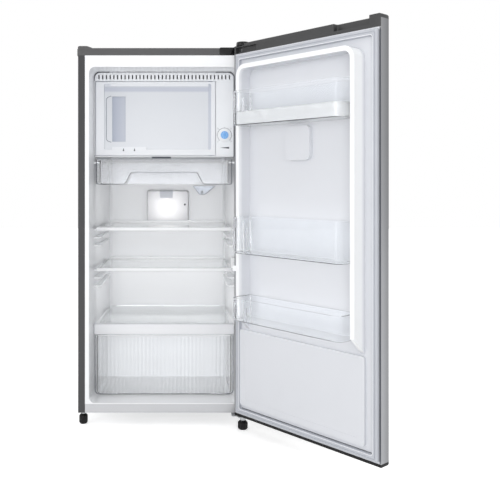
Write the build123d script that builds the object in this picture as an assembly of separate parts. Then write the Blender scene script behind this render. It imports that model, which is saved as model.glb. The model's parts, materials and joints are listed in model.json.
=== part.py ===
from build123d import *
import os
from math import cos, radians, sin, sqrt

# A single door refrigerator with an inner freezer box, its door standing open.
# Sizes are millimetres. x runs from the middle of the cabinet towards the hinge side,
# y from the front plane of the cabinet towards its back, and z up from the floor.
# The finished pieces are moved together so that the middle of the whole footprint is the origin.

# Cabinet shell
CABINET_WIDTH = 530.0
CABINET_DEPTH = 520.0
CABINET_HEIGHT = 1111.0
CABINET_BOTTOM = 40.0
SHEET = 0.6
SHEET_BEND = 1.2
FRONT_RETURN = 21.5
REAR_RETURN = 14.0
BEAD_PLACES = (-150.0, 0.0, 150.0)
BEAD_WIDTH = 14.0
BEAD_RISE = 2.0
PAN_SHEET = 1.5
STRIP_SHEET = 1.0
STRIP_DEPTH = 22.0

# Plastic top
TOP_CAP_HEIGHT = 23.5
TOP_CAP_OVERHANG = 3.5
TOP_CAP_LIP = 0.4
TOP_CAP_WALL = 6.0
TOP_CAP_SKIN = 3.0
CORNER_RISE = 6.5
CORNER_FLAT = 30.0
CORNER_RAMP = 20.0
CORNER_DEPTH = 52.0

# Walls, liner and foam
SIDE_WALL = 34.2
TOP_WALL = 35.5
BOTTOM_WALL = 30.0
BACK_WALL = 70.0
STEP_WALL = 35.0
STEP_ROOF = 36.0
LINER = 1.5
LINER_DRAFT = 17.3
CEILING_DROP = 10.0
LINER_CORNER = 18.0
LINER_BACK_CORNER = 14.0
STEP_RADIUS = 14.0

# Fits
SEAT_GAP = 0.3
RUN_GAP = 0.06
CLIP_GAP = 0.1
WALL_FIT = 0.05
TRIM_GAP = 0.6

# Door, drawn closed and then turned open about its hinge
DOOR_ANGLE = 130.0
DOOR_THICKNESS = 45.0
DOOR_GAP = 12.0
DOOR_FOOT_GAP = 1.0
DOOR_RISE = 4.3
DOOR_EDGE_RADIUS = 18.0
DOOR_HEM = 5.5
TOP_TRIM_HEIGHT = 30.3
TOP_TRIM_CROWN = 7.8
BOTTOM_TRIM_HEIGHT = 9.0
HINGE_INSET = 20.0
HINGE_SETBACK = 16.0
HINGE_PIN_RADIUS = 4.0
HINGE_END = 41.0
HINGE_END_DROP = 7.3
HINGE_SHADE = (6.0, 93.0, 12.0)
GASKET_SQUEEZE = 1.2
GASKET_WIDTH = 15.5
GASKET_INSET_FREE = 5.5
GASKET_INSET_HINGE = 15.0
GASKET_INSET_END = 5.0
GRIP_FROM_END = (36.0, 149.0)
GRIP_DEPTH = 17.0
GRIP_LEDGE = 10.0
END_BUMP_LENGTH = 36.0
END_BUMP_RISE = 3.6

# Raised rim of the door, between whose sides the bins hang
RIM_GAP_HINGE = 18.8
RIM_GAP_FREE = 14.8
RIM_GAP_TOP = 9.5
RIM_THICKNESS = 13.0
RIM_HEIGHT = 45.0
RIM_ABOVE_COVER = 17.0
RIM_CORNER = 34.0
BOSS_SHIFT = 2.0
BOSS_WIDTH = 90.0
BOSS_DROP = 192.0
BOSS_HEIGHT = 96.0
BOSS_DEPTH = 12.0
BOSS_CORNER = 16.0
FIELD_FLOOR_GAP = 13.0
FIELD_HINGE_INSET = 31.0
FIELD_RIM_GAP = 5.0
FIELD_DEPTH = 7.0
FIELD_CORNER = 8.0
FIELD_BORDER = 18.0
FIELD_DIP = 0.7
STRIKER_HEIGHT = 16.0
STRIKER_DEPTH = 9.0

# Door bins and egg rack
BIN_GAP = 1.0
BIN_REACH = 83.0
BIN_WALL = 2.2
BIN_END = 9.0
BIN_FRONT_RADIUS = 24.0
BIN_FOOT_RADIUS = 5.0
BIN_LIP = 1.4
BIN_LIP_HEIGHT = 5.0
TOP_BIN_DROP = 84.0
TOP_BIN_HEIGHT = 100.0
MIDDLE_BIN_SHIFT = 68.0
MIDDLE_BIN_HEIGHT = 106.0
LOWER_BIN_RISE = 37.0
LOWER_BIN_HEIGHT = 66.0
LUG_DEPTH = 5.5
LUG_WIDTH = 12.0
LUG_HEIGHT = 22.0
LUG_REACH = 24.0
LUG_DROP = 16.0
EGG_COUNT = 6
EGG_RADIUS = 19.0
EGG_SEAT_RADIUS = 15.0
EGG_COLLAR = 3.0
EGG_SEAT_DEPTH = 10.0
EGG_END_SPACE = 45.0
EGG_RACK_WALL = 2.0
EGG_RACK_HEIGHT = 37.5
EGG_RACK_GAP = 0.8
EGG_RACK_CORNER = 20.0

# Freezer box front and control panel
FRAME_BEHIND_SHELF = 12.0
FRAME_HEIGHT = 274.3
FRAME_DEPTH = 20.0
FRAME_SKIN = 3.0
FRAME_TOP_GAP = 0.8
FRAME_TOP_RADIUS = 21.0
FRAME_FOOT_RADIUS = 6.0
FRAME_EDGE = 1.5
PANEL_WIDTH = 58.6
PANEL_RISE = 1.0
FREEZER_DOOR_DROP = 28.3
FREEZER_DOOR_SIDE = 2.2
FREEZER_DOOR_THICKNESS = 14.0
FREEZER_DOOR_GAP = 1.0
FREEZER_DOOR_BACK_GAP = 1.5
FREEZER_PIN_INSET = 4.5
FREEZER_PIN_RADIUS = 2.0
FREEZER_EDGE = 2.5
OPENING_INSET = 16.0
FIELD_MARGINS = (28.0, 12.5, 20.0, 6.0)
FIELD_SLOPE = 10.0
FREEZER_FIELD_DEPTH = 5.0
POCKET_PLACE = (54.0, 46.0)
POCKET_SIZE = (43.4, 146.5)
POCKET_DEPTH = 4.5
LEAD_WIDTH = 18.0
LEAD_DEPTH = 2.0
LEAD_CORNER = 11.0
LATCH_LENGTH = 111.0
LATCH_HEIGHT = 17.0
NOTCH_PLACE = (-40.0, 23.0)
NOTCH_HEIGHT = 1.6
VENT_COUNT = 36
VENT_WIDTH = 4.0
VENT_HEIGHT = 14.0
VENT_DROP = 8.8
VENT_MARGIN = 14.9
KNOB_PLACE = (31.0, 71.0)
KNOB_RADIUS = 21.0
KNOB_SKIRT = 3.5
KNOB_HUB_RADIUS = 12.5
KNOB_REACH = 13.0
KNOB_BAR = 5.2
SPINDLE_RADIUS = 3.0
THERMOSTAT_SIZE = (38.0, 44.0, 68.0)

# Freezer box and ice tray
EVAPORATOR_BACK_GAP = 44.0
EVAPORATOR_SHEET = 1.6
CHANNEL_COUNT = 6
CHANNEL_PITCH = 42.0
CHANNEL_WIDTH = 8.0
CHANNEL_RISE = 2.0
CHANNEL_MARGIN = 30.0
ICE_COLUMNS = 3
ICE_ROWS = 2
ICE_X = 20.0
ICE_SETBACK = 90.0
ICE_PITCH = (46.0, 44.0)
ICE_CELL = (42.0, 40.0)
ICE_HEIGHT = 34.0
ICE_WALL = 2.5

# Shelves, tray and drawer
SHELF_BEHIND_BIN = 7.0
SHELF_SIDE_GAP = 8.8
GLASS_SIDE_GAP = 5.3
GLASS = 4.0
GLASS_DROP = 1.5
GLASS_CORNER = 6.0
GLASS_TUCK = 6.0
SHELF_BACK_GAP = 74.0
UPPER_SHELF_DROP = 138.0
LOWER_SHELF_PLACE = 0.579
TRIM_HEIGHT = 11.5
TRIM_DEPTH = 17.0
TRIM_NOSE = 4.5
REAR_RAIL = (14.0, 9.0, 8.0)
LEDGE_REACH = 8.0
LEDGE_HEIGHT = 5.0
LEDGE_FRONT = 22.0
LEDGE_STEP = 26.0
TRAY_DROP = 5.5
TRAY_HEIGHT = 83.5
TRAY_BACK_GAP = 82.0
TRAY_SIDE_GAP = 9.6
TRAY_WALL = 2.2
TRAY_RADIUS = 7.0
TRAY_WING = 7.0
TRAY_GRIP = (125.0, 105.0, 40.0, 26.0)
RAIL_DROP = 10.0
RAIL_DEPTH = 16.0
COVER_ABOVE_STEP = 12.0
COVER_TRIM_HEIGHT = 33.0
COVER_SIDE_GAP = 3.8
COVER_BACK_GAP = 26.0
COVER_RAIL = 8.0
DRAWER_SIDE_GAP = 11.7
DRAWER_FLOOR_GAP = 3.0
DRAWER_TOP_GAP = 4.0
DRAWER_STEP_GAP = 11.0
DRAWER_WALL = 2.4
DRAWER_RADIUS = 13.0
DRAWER_DRAFT = 8.0
FLUTE_COUNT = 18
FLUTE_WIDTH = 4.0
FLUTE_RISE = 1.2
FLUTE_MARGINS = (24.0, 40.0, 16.0)

# Lamp, drain and door switch
LAMP_MIDDLE = 2.2
LAMP_WIDTH = 158.5
LAMP_TRAY_GAP = 21.0
LAMP_SHELF_GAP = 1.5
LAMP_DEPTH = 36.0
LAMP_WALL = 2.0
LAMP_CORNER = 12.0
LAMP_SOCKET_DROP = 40.0
SOCKET_RADIUS = 17.0
BULB_RADIUS = 10.0
FUNNEL_X = (96.0, 177.0)
FUNNEL_TIP_X = 130.0
FUNNEL_TIP_HALF = 11.0
FUNNEL_TRAY_GAP = 8.0
FUNNEL_HEIGHT = 30.0
FUNNEL_DEPTH = 24.0
FUNNEL_WALL = 2.0
DRAIN_RADIUS = 8.0
DRAIN_WALL = 1.5
DRAIN_BACK_GAP = 34.0
SPOUT_RADIUS = 6.0
SWITCH_FRONT = 40.0
SWITCH_LENGTH = 32.0
SWITCH_HEIGHT = 32.0
SWITCH_SHELF_SHIFT = 20.0
SWITCH_REACH = 16.0
PLUNGER_RADIUS = 3.5
PLUNGER_TRAVEL = 7.0
PLUNGER_GAP = 0.8

# Compressor and its chamber
CHAMBER_HEADROOM = 8.2
COMPRESSOR_X = 55.0
COMPRESSOR_FRONT_GAP = 19.0
COMPRESSOR_BACK_GAP = 23.0
COMPRESSOR_RADIUS = 73.0
COMPRESSOR_HEIGHT = 160.0
COMPRESSOR_PLATE = 4.0
COMPRESSOR_FOOTPRINT = (92.0, 62.0)
GROMMET_HEIGHT = 16.0
GROMMET_RADIUS = 11.0
GROMMET_PLACES = (80.0, 50.0)
TERMINAL_REACH = 5.0
RELAY_SIZE = (30.0, 52.0, 50.0)
WATER_TRAY_HEIGHT = 22.0
WATER_TRAY_WALL = 2.0

# Condenser and pipes
CONDENSER_SIDE_GAP = 53.0
CONDENSER_TOP_GAP = 101.0
CONDENSER_FOOT_GAP = 66.0
CONDENSER_PASSES = 13
CONDENSER_GAP = 18.0
TUBE_RADIUS = 2.5
TUBE_SIDES = 6
WIRE_COUNT = 34
WIRE_SIZE = 1.6
WIRE_OVERRUN = 14.0
WIRE_GAP = 6.0
WELD_GAP = 0.05
CLIP_WIDTH = 14.0
CLIP_HEIGHT = 16.0
CLIP_WALL = 3.5
DRIER_SIDE_GAP = 29.0
DRIER_RADIUS = 8.0
DRIER_LENGTH = 110.0
DRIER_DROP = 32.0
CAPILLARY_RADIUS = 1.2
COIL_PLACE = (75.0, 50.0, 120.0)
COIL_RADIUS = 20.0
COIL_TURNS = 3
COIL_PITCH = 4.0
SUCTION_X = -60.0
SUCTION_DROP = 73.0
SUCTION_RADIUS = 3.5
SUCTION_STUB = 56.0
DISCHARGE_STUB = 46.0
DISCHARGE_SIDE = 30.0
PIPE_BEND = 14.0
GLAND_PLACE = (75.0, 22.0)
GLAND_RADIUS = 10.0
GLAND_BORE = 4.5
GLAND_HEIGHT = 14.0

# Feet, hinges and screws
FOOT_INSET = 13.5
FOOT_SETBACK = 25.0
LEFT_FOOT_RADIUS = 13.5
LEFT_FOOT_HEIGHT = 31.0
RIGHT_FOOT_RADIUS = 15.6
RIGHT_FOOT_HEIGHT = 27.0
FOOT_LOBES = 8
REAR_FOOT_INSET = 33.0
REAR_FOOT_SETBACK = 24.0
REAR_FOOT_RADIUS = 13.0
STUD_RADIUS = 4.0
NUT_RADIUS = 9.0
BRACKET = 3.0
HINGE_PLATE_HALF = 17.0
TOP_HINGE_LENGTH = 74.0
BOTTOM_HINGE_LENGTH = 62.0
COVER_RISE = 12.5
COVER_SKIN = 1.8
COVER_NOSE = 19.0
COVER_LENGTH = 82.0
COVER_RAMP = 22.0
COVER_APRON = 42.0
SCREW_RADIUS = 2.0
SCREW_LENGTH = 16.0

# Places that follow from the sizes above
HALF = CABINET_WIDTH / 2
CABINET_TOP = CABINET_BOTTOM + CABINET_HEIGHT
TOP_CAP_TOP = CABINET_TOP + TOP_CAP_HEIGHT
MOUTH_HALF = HALF - SIDE_WALL
CEILING = CABINET_TOP - TOP_WALL
LINER_FLOOR = CABINET_BOTTOM + BOTTOM_WALL
LINER_DEPTH = CABINET_DEPTH - BACK_WALL
RIM_HALF = HALF - FRONT_RETURN - CLIP_GAP
RIM_FOOT = LINER_FLOOR - 3.0
COMPRESSOR_FOOT = CABINET_BOTTOM + PAN_SHEET + GROMMET_HEIGHT
POT_TOP = COMPRESSOR_FOOT + COMPRESSOR_PLATE + COMPRESSOR_HEIGHT
CHAMBER_FRONT = CABINET_DEPTH - COMPRESSOR_BACK_GAP - 2 * COMPRESSOR_RADIUS - COMPRESSOR_FRONT_GAP
CHAMBER_TOP = POT_TOP + SEAT_GAP + WATER_TRAY_HEIGHT + CHAMBER_HEADROOM
COMPRESSOR_Y = CHAMBER_FRONT + COMPRESSOR_FRONT_GAP + COMPRESSOR_RADIUS
DRAIN_Y = CABINET_DEPTH - DRAIN_BACK_GAP
STEP_FRONT = CHAMBER_FRONT - STEP_WALL
STEP_TOP = CHAMBER_TOP + STEP_ROOF

DOOR_HALF = HALF
DOOR_BACK = -DOOR_GAP
DOOR_FRONT = DOOR_BACK - DOOR_THICKNESS
DOOR_BOTTOM = CABINET_BOTTOM + DOOR_FOOT_GAP
DOOR_TOP = TOP_CAP_TOP + DOOR_RISE
DOOR_SKIN_TOP = DOOR_TOP - TOP_TRIM_CROWN
SKIN_BOTTOM = DOOR_BOTTOM + BOTTOM_TRIM_HEIGHT
DOOR_LINER_TOP = DOOR_TOP - TOP_TRIM_HEIGHT
HINGE_X = DOOR_HALF - HINGE_INSET
HINGE_Y = DOOR_BACK - HINGE_SETBACK
HINGE_END_X = DOOR_HALF - HINGE_END
BIN_FRONT = DOOR_BACK + BIN_REACH


def grown(span, by):
    """A pair of limits let out by an amount at both ends."""
    return (span[0] - by, span[1] + by)


def liner_half(y):
    """Half the width inside the liner at a depth."""
    return MOUTH_HALF - LINER_DRAFT * y / LINER_DEPTH


def liner_ceiling(y):
    """Height of the liner's ceiling at a depth."""
    return CEILING - CEILING_DROP * y / LINER_DEPTH


SHELF_FRONT = BIN_FRONT + SHELF_BEHIND_BIN
SHELF_BACK = LINER_DEPTH - SHELF_BACK_GAP
SHELF_HALF = liner_half(SHELF_FRONT) - SHELF_SIDE_GAP
GLASS_HALF = liner_half(SHELF_BACK) - GLASS_SIDE_GAP
COVER_TOP = STEP_TOP + COVER_ABOVE_STEP
COVER_HALF = liner_half(SHELF_FRONT) - COVER_SIDE_GAP
COVER_BACK = LINER_DEPTH - COVER_BACK_GAP

FRAME_Y = SHELF_FRONT + FRAME_BEHIND_SHELF
FRAME_BACK = FRAME_Y + FRAME_DEPTH
FRAME_HALF = liner_half(FRAME_BACK) - TRIM_GAP
FRAME_TOP = liner_ceiling(FRAME_BACK) - FRAME_TOP_GAP
FRAME_BOTTOM = FRAME_TOP - FRAME_HEIGHT
FREEZER_X = (FREEZER_DOOR_SIDE + FREEZER_DOOR_GAP - FRAME_HALF, FRAME_HALF - PANEL_WIDTH - FREEZER_DOOR_GAP)
FREEZER_Z = (FRAME_BOTTOM + FRAME_SKIN + FREEZER_DOOR_GAP, FRAME_TOP - FREEZER_DOOR_DROP - FREEZER_DOOR_GAP)
FREEZER_AXIS = (FREEZER_X[1] - FREEZER_PIN_INSET, FRAME_Y + FREEZER_PIN_INSET)
RECESS_X = (FREEZER_X[0] - FREEZER_DOOR_GAP, FREEZER_X[1] + FREEZER_DOOR_GAP)
RECESS_Z = (FREEZER_Z[0] - FREEZER_DOOR_GAP, FREEZER_Z[1] + FREEZER_DOOR_GAP)
OPENING_X = (RECESS_X[0] + OPENING_INSET, RECESS_X[1] - OPENING_INSET)
OPENING_Z = (RECESS_Z[0] + OPENING_INSET, RECESS_Z[1] - OPENING_INSET)
POCKET_X = (FREEZER_X[0] + POCKET_PLACE[0], FREEZER_X[0] + POCKET_PLACE[0] + POCKET_SIZE[0])
POCKET_Z = (FREEZER_Z[0] + POCKET_PLACE[1], FREEZER_Z[0] + POCKET_PLACE[1] + POCKET_SIZE[1])
VENT_PITCH = 2 * (FRAME_HALF - VENT_MARGIN) / (VENT_COUNT - 1)
KNOB_X = FRAME_HALF - KNOB_PLACE[0]
KNOB_Z = FRAME_BOTTOM + KNOB_PLACE[1]
EVAPORATOR_FRONT = FRAME_BACK + SEAT_GAP
EVAPORATOR_BACK = LINER_DEPTH - EVAPORATOR_BACK_GAP

TRAY_TOP = FRAME_BOTTOM - TRAY_DROP
TRAY_BOTTOM = TRAY_TOP - TRAY_HEIGHT
TRAY_BACK = LINER_DEPTH - TRAY_BACK_GAP
TRAY_BODY_HALF = liner_half(TRAY_BACK) - TRAY_SIDE_GAP
RAIL_TOP = TRAY_TOP - RAIL_DROP
UPPER_SHELF_TOP = TRAY_BOTTOM - UPPER_SHELF_DROP
LOWER_SHELF_TOP = COVER_TOP + LOWER_SHELF_PLACE * (UPPER_SHELF_TOP - COVER_TOP)
SHELF_TOPS = {"upper_shelf": UPPER_SHELF_TOP, "lower_shelf": LOWER_SHELF_TOP}
DRAWER_FRONT = SHELF_FRONT + 2.0
DRAWER_BACK = STEP_FRONT - DRAWER_STEP_GAP
DRAWER_HALF = liner_half(DRAWER_FRONT) - DRAWER_SIDE_GAP
DRAWER_BOTTOM = LINER_FLOOR + DRAWER_FLOOR_GAP
DRAWER_TOP = COVER_TOP - COVER_TRIM_HEIGHT - DRAWER_TOP_GAP

LAMP_X = (LAMP_MIDDLE - LAMP_WIDTH / 2, LAMP_MIDDLE + LAMP_WIDTH / 2)
LAMP_Z = (UPPER_SHELF_TOP - LAMP_SHELF_GAP, TRAY_BOTTOM - LAMP_TRAY_GAP)
LAMP_SOCKET_Z = LAMP_Z[1] - LAMP_SOCKET_DROP
FUNNEL_Z = (TRAY_BOTTOM - FUNNEL_TRAY_GAP - FUNNEL_HEIGHT, TRAY_BOTTOM - FUNNEL_TRAY_GAP)
SPOUT_Z = FUNNEL_Z[0] + SPOUT_RADIUS + 3.0
SWITCH_Y = (SWITCH_FRONT, SWITCH_FRONT + SWITCH_LENGTH)
SWITCH_MIDDLE = LOWER_SHELF_TOP + SWITCH_SHELF_SHIFT
SWITCH_X = liner_half(SWITCH_FRONT) - SWITCH_REACH / 2
PLUNGER_TIP = DOOR_BACK + RIM_HEIGHT + PLUNGER_GAP

RIM_HINGE_X = MOUTH_HALF - RIM_GAP_HINGE
RIM_FREE_X = RIM_GAP_FREE - MOUTH_HALF
RIM_TOP = CEILING - RIM_GAP_TOP
RIM_BOTTOM = COVER_TOP + RIM_ABOVE_COVER
FIELD_TOP = RIM_BOTTOM - FIELD_RIM_GAP
BIN_X = (RIM_FREE_X + RIM_THICKNESS + BIN_GAP, RIM_HINGE_X - RIM_THICKNESS - BIN_GAP)
BIN_MIDDLE = (BIN_X[0] + BIN_X[1]) / 2
TOP_BIN_Z = (RIM_TOP - TOP_BIN_DROP - TOP_BIN_HEIGHT, RIM_TOP - TOP_BIN_DROP)
LOWER_BIN_Z = (RIM_BOTTOM + LOWER_BIN_RISE, RIM_BOTTOM + LOWER_BIN_RISE + LOWER_BIN_HEIGHT)
MIDDLE_BIN_LEVEL = (TOP_BIN_Z[0] + LOWER_BIN_Z[1]) / 2 - MIDDLE_BIN_SHIFT
MIDDLE_BIN_Z = (MIDDLE_BIN_LEVEL - MIDDLE_BIN_HEIGHT / 2, MIDDLE_BIN_LEVEL + MIDDLE_BIN_HEIGHT / 2)
BINS = {"top_bin": TOP_BIN_Z, "middle_bin": MIDDLE_BIN_Z, "lower_bin": LOWER_BIN_Z}
EGG_LEVEL = TOP_BIN_Z[0] + BIN_WALL + SEAT_GAP + EGG_RACK_HEIGHT
EGG_PITCH = (BIN_X[1] - BIN_X[0] - 2 * EGG_END_SPACE) / (EGG_COUNT - 1)

CONDENSER_X = (CONDENSER_SIDE_GAP - HALF, HALF - CONDENSER_SIDE_GAP)
CONDENSER_Z = (CHAMBER_TOP + CONDENSER_FOOT_GAP, CABINET_TOP - CONDENSER_TOP_GAP)
CONDENSER_Y = CABINET_DEPTH + CONDENSER_GAP
CONDENSER_RISE = (CONDENSER_Z[1] - CONDENSER_Z[0]) / (CONDENSER_PASSES - 1)
CONDENSER_BEND = min(CONDENSER_RISE * 0.45, DRIER_DROP * 0.9)
CLIP_X = grown(CONDENSER_X, -CONDENSER_BEND - 2 - CLIP_WIDTH / 2)
WIRE_X = grown(CLIP_X, -CLIP_WIDTH / 2 - WIRE_GAP)
DRIER_X = DRIER_SIDE_GAP - HALF
DRIER_Z = (CONDENSER_Z[0] - DRIER_DROP - DRIER_LENGTH, CONDENSER_Z[0] - DRIER_DROP)
COIL_MIDDLE = (COIL_PLACE[0] - HALF, CABINET_DEPTH - COIL_PLACE[1], COIL_PLACE[2])
SUCTION_Z = FREEZER_Z[1] - SUCTION_DROP
GROMMETS = [(COMPRESSOR_X + i * GROMMET_PLACES[0], COMPRESSOR_Y + j * GROMMET_PLACES[1])
            for i in (-1, 1) for j in (-1, 1)]

LEFT_FOOT = (FOOT_INSET - HALF, FOOT_SETBACK)
REAR_FOOT = (HALF - REAR_FOOT_INSET, CABINET_DEPTH - REAR_FOOT_SETBACK)
TOP_SCREWS = [(HINGE_X - 8, 20.0), (HINGE_X + 8, 34.0), (HINGE_X - 8, 62.0)]
BOTTOM_SCREWS = [(HINGE_X - 20, 34.0), (HINGE_X + 6, 34.0)]


# Plain shapes


def block(x, y, z):
    """A plain block between two limits of x, y and z."""
    middle = Pos((x[0] + x[1]) / 2, (y[0] + y[1]) / 2, (z[0] + z[1]) / 2)
    return middle * Box(x[1] - x[0], y[1] - y[0], z[1] - z[0])


def upright_face(x, z, y, radius):
    """A round-cornered rectangle that faces the front, at a depth."""
    place = Pos((x[0] + x[1]) / 2, (z[0] + z[1]) / 2)
    return Plane.XZ.offset(-y) * place * RectangleRounded(x[1] - x[0], z[1] - z[0], radius)


def front_prism(x, z, y, radius):
    """A block whose corners are round as seen from the front."""
    return extrude(upright_face(x, z, y[1], radius), y[1] - y[0])


def plan_prism(x, y, z, radius):
    """A block whose corners are round as seen from above."""
    outline = Pos((x[0] + x[1]) / 2, (y[0] + y[1]) / 2) * RectangleRounded(x[1] - x[0], y[1] - y[0], radius)
    return extrude(Plane.XY.offset(z[0]) * outline, z[1] - z[0])


def post(x, y, z, radius):
    """An upright round bar between two heights."""
    return Pos(x, y, (z[0] + z[1]) / 2) * Cylinder(radius, z[1] - z[0])


def peg(x, z, y, radius):
    """A round bar that runs from front to back."""
    return Pos(x, (y[0] + y[1]) / 2, z) * Rot(90, 0, 0) * Cylinder(radius, y[1] - y[0])


def across(points, x):
    """A profile drawn in depth and height, run across the fridge between two limits of x."""
    return extrude(Plane.YZ.offset(x[0]) * make_face(Polyline(*points, close=True)), x[1] - x[0])


def along(points, y):
    """A profile drawn in width and height, run from front to back between two limits of y."""
    return extrude(Plane.XZ.offset(-y[1]) * make_face(Polyline(*points, close=True)), y[1] - y[0])


def turned(points, x, y):
    """A profile of radius and height, turned about an upright axis."""
    return Pos(x, y, 0) * revolve(Plane.XZ * make_face(Polyline(*points, close=True)), axis=Axis.Z)


def both_sides(shape):
    """The shape and its mirror image on the other side of the cabinet."""
    return shape + mirror(shape, about=Plane.YZ)


def tube(points, bend, radius):
    """A bent pipe of few sides through the given corners, with the same bend at each."""
    path = FilletPolyline(*points, radius=bend)
    start = Plane(origin=path @ 0, z_dir=path % 0)
    return sweep(start * RegularPolygon(radius, TUBE_SIDES), path=path)


def screw(x, y, seat, length):
    """A screw that stands on a seat and runs down through it."""
    head = chamfer(post(x, y, (seat, seat + SCREW_RADIUS), 2 * SCREW_RADIUS).edges().group_by(Axis.Z)[-1],
                   0.8)
    return head + post(x, y, (seat - length, seat), SCREW_RADIUS)


def hex_nut(x, y, z):
    """A six-sided nut between two heights."""
    return Pos(x, y, 0) * extrude(Plane.XY.offset(z[0]) * RegularPolygon(NUT_RADIUS, 6), z[1] - z[0])


def room(grow):
    """The space inside the liner, let out on every wall by the given amount."""
    low = LINER_FLOOR - grow
    back = LINER_DEPTH + grow
    mouth = MOUTH_HALF + grow
    rear = liner_half(LINER_DEPTH) + grow
    plan = [(-mouth, 0), (mouth, 0), (rear, back), (-rear, back)]
    space = extrude(Plane.XY.offset(low) * make_face(Polyline(*plan, close=True)), CABINET_HEIGHT)
    side = [(0, low), (back, low), (back, liner_ceiling(LINER_DEPTH) + grow), (0, CEILING + grow)]
    space &= across(side, (-HALF, HALF))
    space = fillet(space.edges().group_by(Axis.Y)[1], LINER_CORNER + grow)
    space = fillet(space.faces().sort_by(Axis.Y)[-1].edges(), LINER_BACK_CORNER + grow)
    step = block((-HALF, HALF), (STEP_FRONT + grow, CABINET_DEPTH), (0, STEP_TOP - grow))
    nose = step.edges().filter_by(Axis.X).group_by(Axis.Z)[-1].sort_by(Axis.Y)[0]
    return space - fillet(nose, STEP_RADIUS - grow)


# Cabinet shell


def side_panel():
    """The hinge side's bent sheet, with its front and rear returns."""
    height = (CABINET_BOTTOM, CABINET_TOP)
    inner = HALF - FRONT_RETURN
    sheet = block((inner, HALF), (0, CABINET_DEPTH), height)
    sheet = fillet(sheet.edges().filter_by(Axis.Z).group_by(Axis.X)[-1], SHEET_BEND)
    sheet -= block((inner - 1, HALF - SHEET), (SHEET, CABINET_DEPTH - SHEET), grown(height, 1))
    behind = (CABINET_DEPTH - 2 * SHEET, CABINET_DEPTH + 1)
    return sheet - block((inner - 1, HALF - REAR_RETURN), behind, grown(height, 1))


def back_panel():
    """The rear sheet, stiffened by pressed beads."""
    half = HALF - REAR_RETURN - SEAT_GAP
    sheet = block((-half, half), (CABINET_DEPTH - SHEET, CABINET_DEPTH), (CHAMBER_TOP, CABINET_TOP))
    bead_z = (CHAMBER_TOP + CONDENSER_FOOT_GAP, CABINET_TOP - CONDENSER_FOOT_GAP)
    for x in BEAD_PLACES:
        bead = block(grown((x, x), BEAD_WIDTH / 2), (CABINET_DEPTH - SHEET, CABINET_DEPTH + BEAD_RISE),
                     bead_z)
        sheet += chamfer(bead.edges().group_by(Axis.Y)[-1], BEAD_RISE * 0.8)
    return sheet


def chamber_plate():
    """The bent sheet over and in front of the compressor."""
    floor = CABINET_BOTTOM + PAN_SHEET
    front = CHAMBER_FRONT - SHEET
    back = CABINET_DEPTH - SHEET
    profile = [(front, floor), (CHAMBER_FRONT, floor), (CHAMBER_FRONT, CHAMBER_TOP - SHEET),
               (back, CHAMBER_TOP - SHEET), (back, CHAMBER_TOP), (front, CHAMBER_TOP)]
    return across(profile, (SHEET - HALF, HALF - SHEET)) - drain_bore(SEAT_GAP) - suction_bore()


def base_pan():
    """The pan under the cabinet, with the left foot's nut below it."""
    floor = (CABINET_BOTTOM, CABINET_BOTTOM + PAN_SHEET)
    pan = block((SHEET - HALF, HALF - SHEET), (STRIP_DEPTH, CABINET_DEPTH - SHEET), floor)
    x, y = LEFT_FOOT
    pan += block((SHEET - HALF, -RIM_HALF - SEAT_GAP), (y - NUT_RADIUS - 2, y + NUT_RADIUS + 2), floor)
    pan += hex_nut(x, y, (LEFT_FOOT_HEIGHT + 1, CABINET_BOTTOM))
    return pan - post(x, y, grown(floor, CABINET_BOTTOM), STUD_RADIUS + RUN_GAP)


def bottom_front_panel():
    """The grey strip below the mouth, turned back under the cabinet."""
    back = STRIP_DEPTH - SEAT_GAP
    low = CABINET_BOTTOM
    profile = [(0, low), (back, low), (back, low + STRIP_SHEET), (STRIP_SHEET, low + STRIP_SHEET),
               (STRIP_SHEET, RIM_FOOT), (0, RIM_FOOT)]
    strip = across(profile, (-RIM_HALF, RIM_HALF))
    corner = strip.edges().filter_by(Axis.X).sort_by(lambda edge: edge.center().Y + edge.center().Z)[0]
    return fillet(corner, STRIP_SHEET * 0.8)


def seat_of(top):
    """The height a glass rests at, under a shelf's top."""
    return top - GLASS_DROP - GLASS - SEAT_GAP


def ledge_levels():
    """Heights of the ledges' tops: a pair carries each shelf, with two spare places below."""
    levels = [seat_of(COVER_TOP)]
    for top, below in ((UPPER_SHELF_TOP, LOWER_SHELF_TOP), (LOWER_SHELF_TOP, COVER_TOP)):
        step = min(LEDGE_STEP, (top - below) / 4)
        levels += [seat_of(top) - i * step for i in range(3)]
    return levels


def ledges():
    """Moulded ledges on both side walls, each with a round front end."""
    bars = Part()
    inner = liner_half(LINER_DEPTH) - LEDGE_REACH
    for level in ledge_levels():
        bar = block((inner, HALF), (SHELF_FRONT + LEDGE_FRONT, SHELF_BACK - GLASS),
                    (level - LEDGE_HEIGHT, level))
        bars += chamfer(bar.edges().filter_by(Axis.Z).group_by(Axis.X)[0].sort_by(Axis.Y)[0], 12, 6)
    return both_sides(bars) & room(0.2)


def inner_liner():
    """The formed liner with its flat rim round the mouth, its ledges and its pipe holes."""
    rim = block((-RIM_HALF, RIM_HALF), (0, LINER), (RIM_FOOT + SEAT_GAP, CABINET_TOP))
    shell = room(LINER) + rim - room(0) + ledges()
    return shell - drain_mouth(SEAT_GAP) - suction_bore() - lamp_bore(SEAT_GAP)


def foam_sides():
    """The foam of both side walls, which thickens towards the back as the liner draws in."""
    rear = liner_half(LINER_DEPTH) + LINER
    skin = HALF - SHEET
    back = CABINET_DEPTH - SHEET
    plan = [(MOUTH_HALF + LINER, 0), (skin, 0), (skin, back), (rear, back), (rear, LINER_DEPTH + LINER)]
    base = CABINET_BOTTOM + PAN_SHEET
    wall = extrude(Plane.XY.offset(base) * make_face(Polyline(*plan, close=True)), CABINET_TOP - base)
    return both_sides(wall)


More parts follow.
